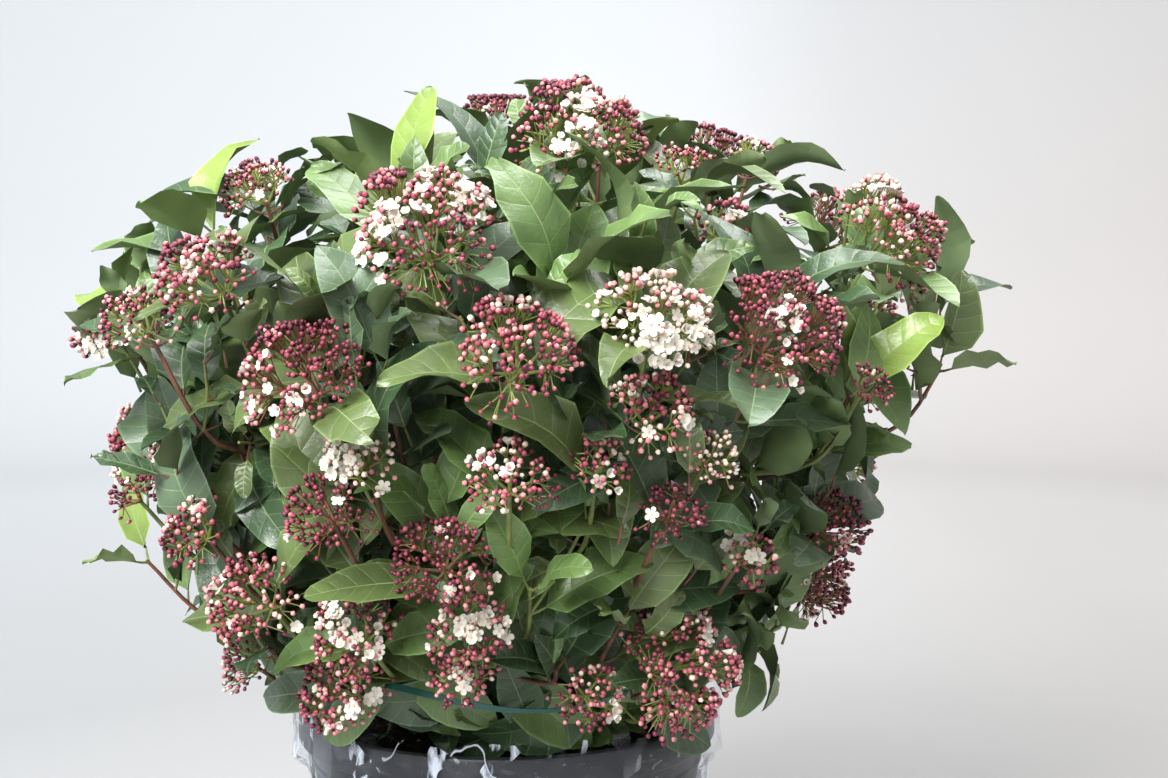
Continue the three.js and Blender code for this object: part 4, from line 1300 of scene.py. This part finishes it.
# The pot's foot, from the recess under it to its outer edge, in metres
FOOT = {"recess": 0.012, "recessHeight": 0.003, "ring": 0.010, "edge": 0.0015, "edgeHeight": 0.0018}
# Its raised lines. The profile of one is the height from its middle and how far it stands off there
RIBS = {"lowest": 0.03, "underShoulder": 0.014,
        "profile": ((-0.003, 0), (-0.0016, 0.0012), (0.0016, 0.0012), (0.003, 0))}


class LAURUSTINUS_OT_pot(bpy.types.Operator):
    """Model the black plastic pot, with its banded rim and the raised lines round it"""
    bl_idname = "laurustinus.pot"
    bl_label = "Pot"

    def execute(self, context):
        pot = context.scene.laurustinus_pot
        shoulder = pot.height - pot.rim_depth

        def wall_at(height, raised=0):
            """A point of the outside at a height, stood off by what is raised there."""
            return wall_radius(pot, height) + raised, height
        foot = pot.foot_radius
        profile = [(foot - FOOT["recess"], FOOT["recessHeight"]), (foot - FOOT["ring"], 0.0),
                   (foot - FOOT["edge"], 0.0), (foot, FOOT["edgeHeight"])]
        for number in range(pot.ribs):
            height = lerp(RIBS["lowest"], shoulder - RIBS["underShoulder"], number / max(1, pot.ribs - 1))
            for step, raised in RIBS["profile"]:
                profile.append(wall_at(height + step, raised))
        profile.append(wall_at(shoulder))
        profile += self.rim(pot, shoulder)
        profile += [(pot.shoulder_radius - pot.wall, shoulder), (foot - pot.wall, 0.006),
                    (foot - 0.006, pot.wall + 0.0006)]
        piece = turned("pot", profile, 128)
        piece.data.materials.append(pot_look(pot.colour))
        finished(piece, "pot", 34, "pot")
        return {"FINISHED"}

    def rim(self, pot, shoulder):
        """The rim's band, from its lower edge over the top and down inside."""
        out, top, inner = pot.rim_radius, pot.height, pot.rim_radius - 2 * pot.wall
        return [(out - 0.0012, shoulder + 0.0012), (out, shoulder + 0.003), (out, top - 0.003),
                (out - 0.0009, top - 0.0009), (out - 0.0028, top), (inner + 0.0008, top),
                (inner, top - 0.0012), (inner - 0.0012, shoulder + 0.004)]


# The compost in metres: its foot, its rounded edge, how its middle stands up, and its crumbs
COMPOST = {"foot": 0.099, "edge": 0.008, "edgeIn": 0.0012, "crown": 0.0035, "crownRound": 6, "rings": 26,
           "crumb": 0.006, "crumbHeight": 0.005, "crumbsFrom": 0.006}


class LAURUSTINUS_OT_compost(bpy.types.Operator):
    """Model the crumbly compost in the pot"""
    bl_idname = "laurustinus.compost"
    bl_label = "Compost"

    def execute(self, context):
        low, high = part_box("compost")
        radius, top = high.x, high.z
        profile = [(COMPOST["foot"], low.z), (radius - COMPOST["edgeIn"], top - COMPOST["edge"])]
        for share in np.linspace(0.97, 0.03, COMPOST["rings"]):
            profile.append((radius * share, top - COMPOST["crown"] * share ** COMPOST["crownRound"]))
        piece = turned("compost", profile, 96)
        upper = [vertex.index for vertex in piece.data.vertices if vertex.co.z > top - COMPOST["crumbsFrom"]]
        piece.vertex_groups.new(name="top").add(upper, 1, "REPLACE")
        modify(piece, "DISPLACE", texture=grain("crumbs", "CLOUDS", COMPOST["crumb"]), direction="Z",
               strength=COMPOST["crumbHeight"], mid_level=0.7, vertex_group="top")
        piece.data.materials.append(compost_look())
        finished(piece, "compost", 60, "compost")
        return {"FINISHED"}


# The film's wall in metres: how it hangs on the rim, and how far it stays off the pot and the tie
FILM = {"sides": 256, "rows": 44, "rowsIn": 5, "underRim": 0.004, "overShoulder": 0.008, "offWall": 0.0012,
        "least": 0.0006, "inTie": 0.0008, "thickness": 0.00025}
# Its main folds, and the waves beside them: how deep, how many round it, phase, and turn over its height
MAIN_FOLDS = 0.6
FOLD_WAVES = ((0.4, 4, 1, 2), (0.25, 23, 0, 5), (0.2, 41, 0, -9))
# The tie's band in metres, and how its faces tilt in and out: how far, how many times round it, and phase
BAND = {"sides": 192, "rows": 4, "off": 0.0006, "thickness": 0.0005}
TIE_TILTS = ((0.5, 3, 0.6), (0.25, 7, 0))


class LAURUSTINUS_OT_wrap(bpy.types.Operator):
    """Model the crumpled clear film round the pot and the green tie over it"""
    bl_idname = "laurustinus.wrap"
    bl_label = "Film and tie"

    def execute(self, context):
        pot, wrap = context.scene.laurustinus_pot, context.scene.laurustinus_wrap
        self.film(pot, wrap)
        self.tie(wrap)
        return {"FINISHED"}

    def film(self, pot, wrap):
        """The wall of film, folded and drawn up as in the source, then crumpled."""

        def outside(height):
            """The radius of the pot at a height, with the rim's above its shoulder."""
            return pot.rim_radius if height > pot.height - pot.rim_depth else wall_radius(pot, height)
        drawn_in = pot.height - FILM["underRim"]
        profile = []
        for height in np.linspace(wrap.foot, drawn_in, FILM["rows"]):
            wall = outside(min(height + FILM["overShoulder"], pot.height))
            profile.append((wall + FILM["offWall"], height))
        widest, reach = profile[-1][0], TIE["radius"] * MM - FILM["inTie"]
        for share in np.arange(1, FILM["rowsIn"] + 1) / FILM["rowsIn"]:
            profile.append((lerp(widest, reach, share), lerp(drawn_in, wrap.top, share)))
        piece = turned("clear_film", profile, FILM["sides"], filled=False)

        def fold(places):
            """Stands the folds off the pot, and draws the upper edge in and up behind the tie."""
            bearing, height = bearing_of(places), places[:, 2].copy()
            up = np.clip((height - wrap.foot) / (pot.height - wrap.foot), 0, 1)
            wave = 1 + MAIN_FOLDS * np.cos(wrap.folds * bearing)
            for depth, count, phase, turn in FOLD_WAVES:
                wave += depth * np.cos(count * bearing + phase + turn * up)
            past = np.clip((height - drawn_in) / (wrap.top - drawn_in), 0, 1)
            slack = lerp(wrap.foot_slack, wrap.rim_slack, up) * np.maximum(0, wave) * (1 - past)
            places[:, :2] *= (1 + slack / np.hypot(places[:, 0], places[:, 1]))[:, None]
            behind = (1 - np.cos(bearing - math.radians(TIE["sagAt"]))) / 2
            places[:, 2] += past * wrap.drawn_up * behind * np.maximum(0, tie_sag(bearing)) ** 2
            return places
        move_points(piece, fold)
        before = np.array([vertex.co for vertex in piece.data.vertices])
        creases = grain("creases", "VORONOI", 0.035, distance_metric="DISTANCE", weight_1=-1, weight_2=1)
        modify(piece, "DISPLACE", texture=creases, strength=wrap.crumple, mid_level=0.35)
        ripples = grain("ripples", "CLOUDS", 0.02)
        modify(piece, "DISPLACE", texture=ripples, strength=wrap.crumple * 0.6, mid_level=0.45)

        def keep_off(places):
            """Keeps the film off the pot, and off the tie at its upper edge."""
            out = np.hypot(places[:, 0], places[:, 1])
            least = np.array([outside(min(max(height, 0), pot.height)) for height in places[:, 2]])
            least += FILM["least"]
            most = np.where(places[:, 2] > pot.height, reach, 1)
            wanted = np.clip(out, least, most)
            places[:, :2] *= (wanted / out)[:, None]
            low = before[:, 2] < wrap.foot + 0.0001
            places[low, 2] = before[low, 2]
            return places
        move_points(piece, keep_off)
        modify(piece, "SOLIDIFY", thickness=FILM["thickness"], offset=1)
        piece.data.materials.append(film_look())
        finished(piece, "film", 50, "clear_film")

    def tie(self, wrap):
        """The flat tie, sagging between the shoots that it hangs on, a little twisted."""
        radius, low = TIE["radius"] * MM, TIE["height"] * MM
        width = TIE["width"] * MM
        rows = [(radius, low + width * n / BAND["rows"]) for n in range(BAND["rows"] + 1)]
        piece = turned("green_tie", rows, BAND["sides"], filled=False)

        def hang(places):
            """Lets the band sag between its hooks, with its faces tilted in and out."""
            bearing = bearing_of(places)
            middle = low + width / 2
            tilt = sum(far * np.sin(count * bearing + phase) for far, count, phase in TIE_TILTS)
            across = places[:, 2] - middle
            out = 1 + (BAND["off"] + across * np.sin(tilt)) / radius
            places[:, :2] *= out[:, None]
            places[:, 2] = middle + across * np.cos(tilt) - TIE["sagDepth"] * MM * tie_sag(bearing)
            return places
        move_points(piece, hang)
        modify(piece, "SOLIDIFY", thickness=BAND["thickness"], offset=0)
        piece.data.materials.append(tie_look(wrap.tie_colour))
        finished(piece, "tie", 40, "green_tie")


# How the boughs are joined to the stem: the mesh's grain in metres, and how the joints are smoothed
WOOD = {"grain": 0.0015, "smoothing": 0.5, "rounds": 3, "ridges": 0.006, "roots": 5, "rootRise": 0.14}


class LAURUSTINUS_OT_trunk(bpy.types.Operator):
    """Model the flared main stem and the boughs that grow out of it, with the bark's relief"""
    bl_idname = "laurustinus.trunk"
    bl_label = "Trunk and boughs"

    def execute(self, context):
        cut = COMPOST_TOP + 0.3
        flare, neck, knuckle, top = (STEM[part] for part in ("flare", "neck", "knuckle", "top"))
        profile = [(flare, cut), (0.8 * flare, cut + 3), (neck, cut + 10), (neck + 1, cut + 24),
                   (knuckle, FORK[2] - 14), (knuckle - 1, top - 12), (0.6 * knuckle, top - 3),
                   (0.2 * knuckle, top)]
        piece = turned("trunk_and_boughs", [(radius * MM, height * MM) for radius, height in profile], 48)

        def lean(places):
            """Leans the stem over and gives its foot a flare of roots."""
            rise = np.clip((places[:, 2] / MM - COMPOST_TOP) / (top - COMPOST_TOP), 0, 1)
            root = 1 + WOOD["rootRise"] * (1 - rise) ** 6 * np.cos(WOOD["roots"] * bearing_of(places))
            places[:, :2] *= root[:, None]
            places[:, 0] += STEM["lean"] * MM * rise
            return places
        move_points(piece, lean)
        parts = []
        for bough in grown_plant()["boughs"]:
            shares = np.linspace(0, BOUGH["tipAt"], 9)
            radii = [lerp(1.2 * BOUGH["root"], BOUGH["tip"], share / BOUGH["tipAt"]) for share in shares]
            add_tube(parts, [bough.at(share) for share in shares], radii, 10)
        boughs = mesh_piece("boughs", parts, [])
        only(piece)
        boughs.select_set(True)
        bpy.ops.object.join()
        modify(piece, "REMESH", mode="VOXEL", voxel_size=WOOD["grain"])
        modify(piece, "SMOOTH", factor=WOOD["smoothing"], iterations=WOOD["rounds"])
        ridges = grain("ridges", "CLOUDS", WOOD["ridges"], noise_depth=3)
        relief = context.scene.laurustinus_plant.bark_relief
        modify(piece, "DISPLACE", texture=ridges, strength=relief, mid_level=0.5)
        floor = cut * MM
        move_points(piece, lambda places: np.column_stack([places[:, :2], np.maximum(places[:, 2], floor)]))
        piece.data.materials.append(bark_look())
        finished(piece, "bark", 60, "main_stem", *nodes_named("bough_"))
        return {"FINISHED"}


class LAURUSTINUS_OT_twigs(bpy.types.Operator):
    """Grow the twigs on from the boughs, and the stalks of the leaves"""
    bl_idname = "laurustinus.twigs"
    bl_label = "Twigs"

    def execute(self, context):
        parts = {"brown": [], "green": []}
        plant = grown_plant()
        for twig in plant["twigs"]:
            self.twig(parts, twig)
        for leaf in plant["leaves"]:
            root, way = leaf["root"], leaf["way"]
            points = [root - way * 1.6, root + way * 4.5 - [0, 0, 0.4], root + way * (MORE["petiole"] + 1.5)]
            kind = "brown" if leaf["kind"] in ("dark", "olive") else "green"
            add_tube(parts[kind], points, STALK_RADII["leaf"], 5)
        looks = {"brown": stalk_look("red_brown_twig", (0.22, 0.085, 0.05), (0.07, 0.035, 0.022)),
                 "green": stalk_look("green_twig", (0.2, 0.26, 0.07), (0.12, 0.13, 0.04))}
        for kind, look in looks.items():
            grown(f"{kind}_twigs", parts[kind], [look], 60)
        return {"FINISHED"}

    def twig(self, parts, twig):
        """A twig up to its last leaves, or up to its flowers; a leading one starts inside its bough."""
        curve = twig["curve"]
        side = "sprig" in twig["name"]
        most = 1 if twig["width"] else min(1, twig.get("leafy_to", 0.65) + 2.5 / curve.length)
        points = [curve.at(share) for share in np.linspace(0, most, 7 if side else 13)]
        if twig["leads"]:
            points.insert(0, points[0] - 4 * unit(points[1] - points[0]))
        start, tip = TWIG_RADII["sprig" if side else "leader" if twig["leads"] else "shoot"]
        radii = np.linspace(start, tip, len(points))
        kind = "green" if twig["lot"] > 0.55 or side else "brown"
        add_tube(parts[kind], points, radii, 6)


class LAURUSTINUS_OT_leaves(bpy.types.Operator):
    """Grow the leaves, in kinds from dark to young"""
    bl_idname = "laurustinus.leaves"
    bl_label = "Leaves"

    def execute(self, context):
        plant = context.scene.laurustinus_plant
        faces, slots = blade_faces()
        nodes = nodes_named("foliage_")
        for number, kind in enumerate(("dark", "middle", "olive", "slate", "young")):
            leaves = [leaf for leaf in grown_plant()["leaves"] if leaf["kind"] == kind]
            points = blades(leaves, np.random.default_rng(SEEDS["blades"] + number))
            all_faces, all_slots = repeat_faces(faces, slots, len(leaves), points.shape[1])
            tint = tuple(getattr(plant, kind))
            looks = [leaf_look(f"{kind}_leaf", tint),
                     underside_look(f"{kind}_leaf_rib", mixed(tint, plant.vein, 0.42)),
                     leaf_look(f"{kind}_leaf_vein", mixed(tint, plant.vein, 0.2)),
                     underside_look(f"{kind}_leaf_underside", mixed(tint, plant.underside, 0.5))]
            parts = [(points.reshape(-1, 3), all_faces, all_slots)]
            piece = grown(f"{kind}_leaves", parts, looks, 60, *(nodes if number == 0 else ()))
            marks = np.tile(blade_marks(), (len(leaves), 1)).astype(np.float32)
            blade = piece.data.attributes.new("blade", "FLOAT_VECTOR", "POINT")
            blade.data.foreach_set("vector", marks.ravel())
        return {"FINISHED"}


class LAURUSTINUS_OT_blossom(bpy.types.Operator):
    """Grow the flower heads: their rays, the buds in each tint and the open flowers"""
    bl_idname = "laurustinus.blossom"
    bl_label = "Blossom"

    def execute(self, context):
        stream = np.random.default_rng(SEEDS["flowers"])
        stalks = {"green": [], "red": []}
        found = {kind: [] for kind in FLOWER_KINDS}
        for shoot in grown_plant()["heads"]:
            head = head_flowers(shoot, stream)
            head_stalks(stalks[BLOOMS[shoot["bloom"]][2]], shoot, head)
            frames = frames_along(head["ways"], stream)
            sizes = head["size"] * stream.uniform(*FLOWERS["sizes"], len(frames))
            for number, kind in enumerate(FLOWER_KINDS):
                chosen = head["kinds"] == number
                found[kind].append((head["place"][chosen], frames[chosen], sizes[chosen]))
        self.stalks(stalks)
        for kind, (foot, first, second) in BUD_TINTS.items():
            looks = [bud_look(f"{kind}_bud_foot", foot, shade(foot, 0.7)),
                     bud_look(f"{kind}_bud", first, second)]
            self.copies(f"{kind}_buds", (BUD_SHAPE,), found[kind], looks)
        petal = petal_look("white_petal", tuple(context.scene.laurustinus_plant.petal))
        self.copies("open_flowers", STAR_SHAPES, found["open"], [petal, petal])
        eye = petal_look("cream_eye", (0.72, 0.62, 0.34))
        self.copies("flower_eyes", (EYE_SHAPE,), found["open"], [eye, eye])
        return {"FINISHED"}

    def copies(self, name, shapes, found, looks):
        """One piece of all the copies, dealt out in turn to the shapes."""
        places, frames, sizes = (np.concatenate(column) for column in zip(*found))
        parts = []
        for number, shape in enumerate(shapes):
            dealt = slice(number, None, len(shapes))
            parts.append(stamped(shape, places[dealt], frames[dealt], sizes[dealt]))
        grown(name, parts, looks, 75)

    def stalks(self, stalks):
        """The rays and stalks of the heads, green in some and red in others."""
        looks = {"green": stalk_look("green_stalk", (0.33, 0.40, 0.10), (0.22, 0.22, 0.07)),
                 "red": stalk_look("red_stalk", (0.26, 0.10, 0.07), (0.22, 0.16, 0.06))}
        for kind, look in looks.items():
            grown(f"{kind}_flower_stalks", stalks[kind], [look], 60)


# The floor, just under the pot, and the curve up to its wall, in metres
FLOOR = {"height": -0.0005, "middle": 0.05, "curve": 0.6, "steps": 8, "lean": 0.02}
# Each light: its place in metres, its turn in degrees, its size, and its power as a share of the key light's
LIGHTS = (("key_light", (-1.1, -1.7, 2.1), (52, 0, -33), 1.4, 1.0),
          ("top_light", (0.6, 0.5, 2.6), (-10, 12, 0), 1.6, 0.5))
SKY_COLOUR = (0.97, 0.985, 1, 1)
CAMERA = {"place": (0.0517, -1.0817, 0.5245), "tilt": 85.5, "lens": 50, "sensor": 36}


class LAURUSTINUS_OT_stage(bpy.types.Operator):
    """Set up the pale floor that curves up into a backdrop, the soft light and the camera"""
    bl_idname = "laurustinus.stage"
    bl_label = "Stage"

    def execute(self, context):
        stage = context.scene.laurustinus_stage
        self.floor(stage)
        self.lights(context, stage)
        self.camera(context)
        return {"FINISHED"}

    def floor(self, stage):
        """A round floor, curved up all round into a wall that is open at the top."""
        radius, curve = stage.floor_radius, FLOOR["curve"]
        profile = [(FLOOR["middle"], FLOOR["height"]), (radius, FLOOR["height"])]
        for n in range(1, FLOOR["steps"] + 1):
            turn = math.radians(90 * n / FLOOR["steps"])
            profile.append((radius + curve * math.sin(turn), curve * (1 - math.cos(turn))))
        profile.append((radius + curve + FLOOR["lean"], stage.wall_height))
        floor = turned("pale_floor", profile, 96)
        only(floor)
        bpy.ops.object.mode_set(mode="EDIT")
        bpy.ops.mesh.select_all(action="DESELECT")
        bpy.ops.object.mode_set(mode="OBJECT")
        for face in floor.data.polygons:
            face.select = face.center.z > stage.wall_height - 0.01 and face.normal.z ** 2 > 0.5
        bpy.ops.object.mode_set(mode="EDIT")
        bpy.ops.mesh.delete(type="FACE")
        bpy.ops.mesh.select_all(action="SELECT")
        bpy.ops.mesh.flip_normals()
        bpy.ops.object.mode_set(mode="OBJECT")
        bpy.ops.object.shade_smooth_by_angle(angle=math.radians(60))
        floor.data.materials.append(floor_look())

    def lights(self, context, stage):
        world = bpy.data.worlds.new("soft_sky")
        world.use_nodes = True
        sky = world.node_tree.nodes["Background"].inputs
        sky["Color"].default_value = SKY_COLOUR
        sky["Strength"].default_value = stage.fill
        context.scene.world = world
        for name, place, turn, size, share in LIGHTS:
            bpy.ops.object.select_all(action="DESELECT")
            bpy.ops.object.light_add(
                type="AREA", location=place, rotation=[math.radians(angle) for angle in turn])
            light = context.object
            light.name = name
            light.data.size = size
            light.data.energy = share * stage.key
            light.visible_camera = False

    def camera(self, context):
        bpy.ops.object.camera_add(location=CAMERA["place"], rotation=(math.radians(CAMERA["tilt"]), 0, 0))
        camera = context.object
        camera.data.lens = CAMERA["lens"]
        camera.data.sensor_width = CAMERA["sensor"]
        context.scene.camera = camera
        context.scene.view_settings.view_transform = "Standard"


class LAURUSTINUS_PT_panel(bpy.types.Panel):
    """Lists the pieces of the plant in the sidebar"""
    bl_label = "Laurustinus"
    bl_idname = "LAURUSTINUS_PT_panel"
    bl_space_type = "VIEW_3D"
    bl_region_type = "UI"
    bl_category = "Laurustinus"

    def draw(self, context):
        for name, kind in SETTINGS.items():
            for setting in kind.__annotations__:
                self.layout.prop(getattr(context.scene, name), setting)
        for operator in OPERATORS:
            self.layout.operator(operator.bl_idname)


SETTINGS = {"laurustinus_pot": PotSettings, "laurustinus_wrap": WrapSettings,
            "laurustinus_plant": PlantSettings, "laurustinus_stage": StageSettings}
OPERATORS = (LAURUSTINUS_OT_stage, LAURUSTINUS_OT_pot, LAURUSTINUS_OT_compost, LAURUSTINUS_OT_wrap,
             LAURUSTINUS_OT_trunk, LAURUSTINUS_OT_twigs, LAURUSTINUS_OT_leaves, LAURUSTINUS_OT_blossom)
CLASSES = (*SETTINGS.values(), *OPERATORS, LAURUSTINUS_PT_panel)


def register():
    for kind in CLASSES:
        bpy.utils.register_class(kind)
    for name, kind in SETTINGS.items():
        setattr(bpy.types.Scene, name, bpy.props.PointerProperty(type=kind))


def unregister():
    for name in SETTINGS:
        delattr(bpy.types.Scene, name)
    for kind in reversed(CLASSES):
        bpy.utils.unregister_class(kind)


def main():
    """Registers the classes and makes every piece in order."""
    register()
    bpy.ops.object.select_all(action="DESELECT")
    for operator in OPERATORS:
        group, name = operator.bl_idname.split(".")
        getattr(getattr(bpy.ops, group), name)()


if __name__ == "__main__":
    main()
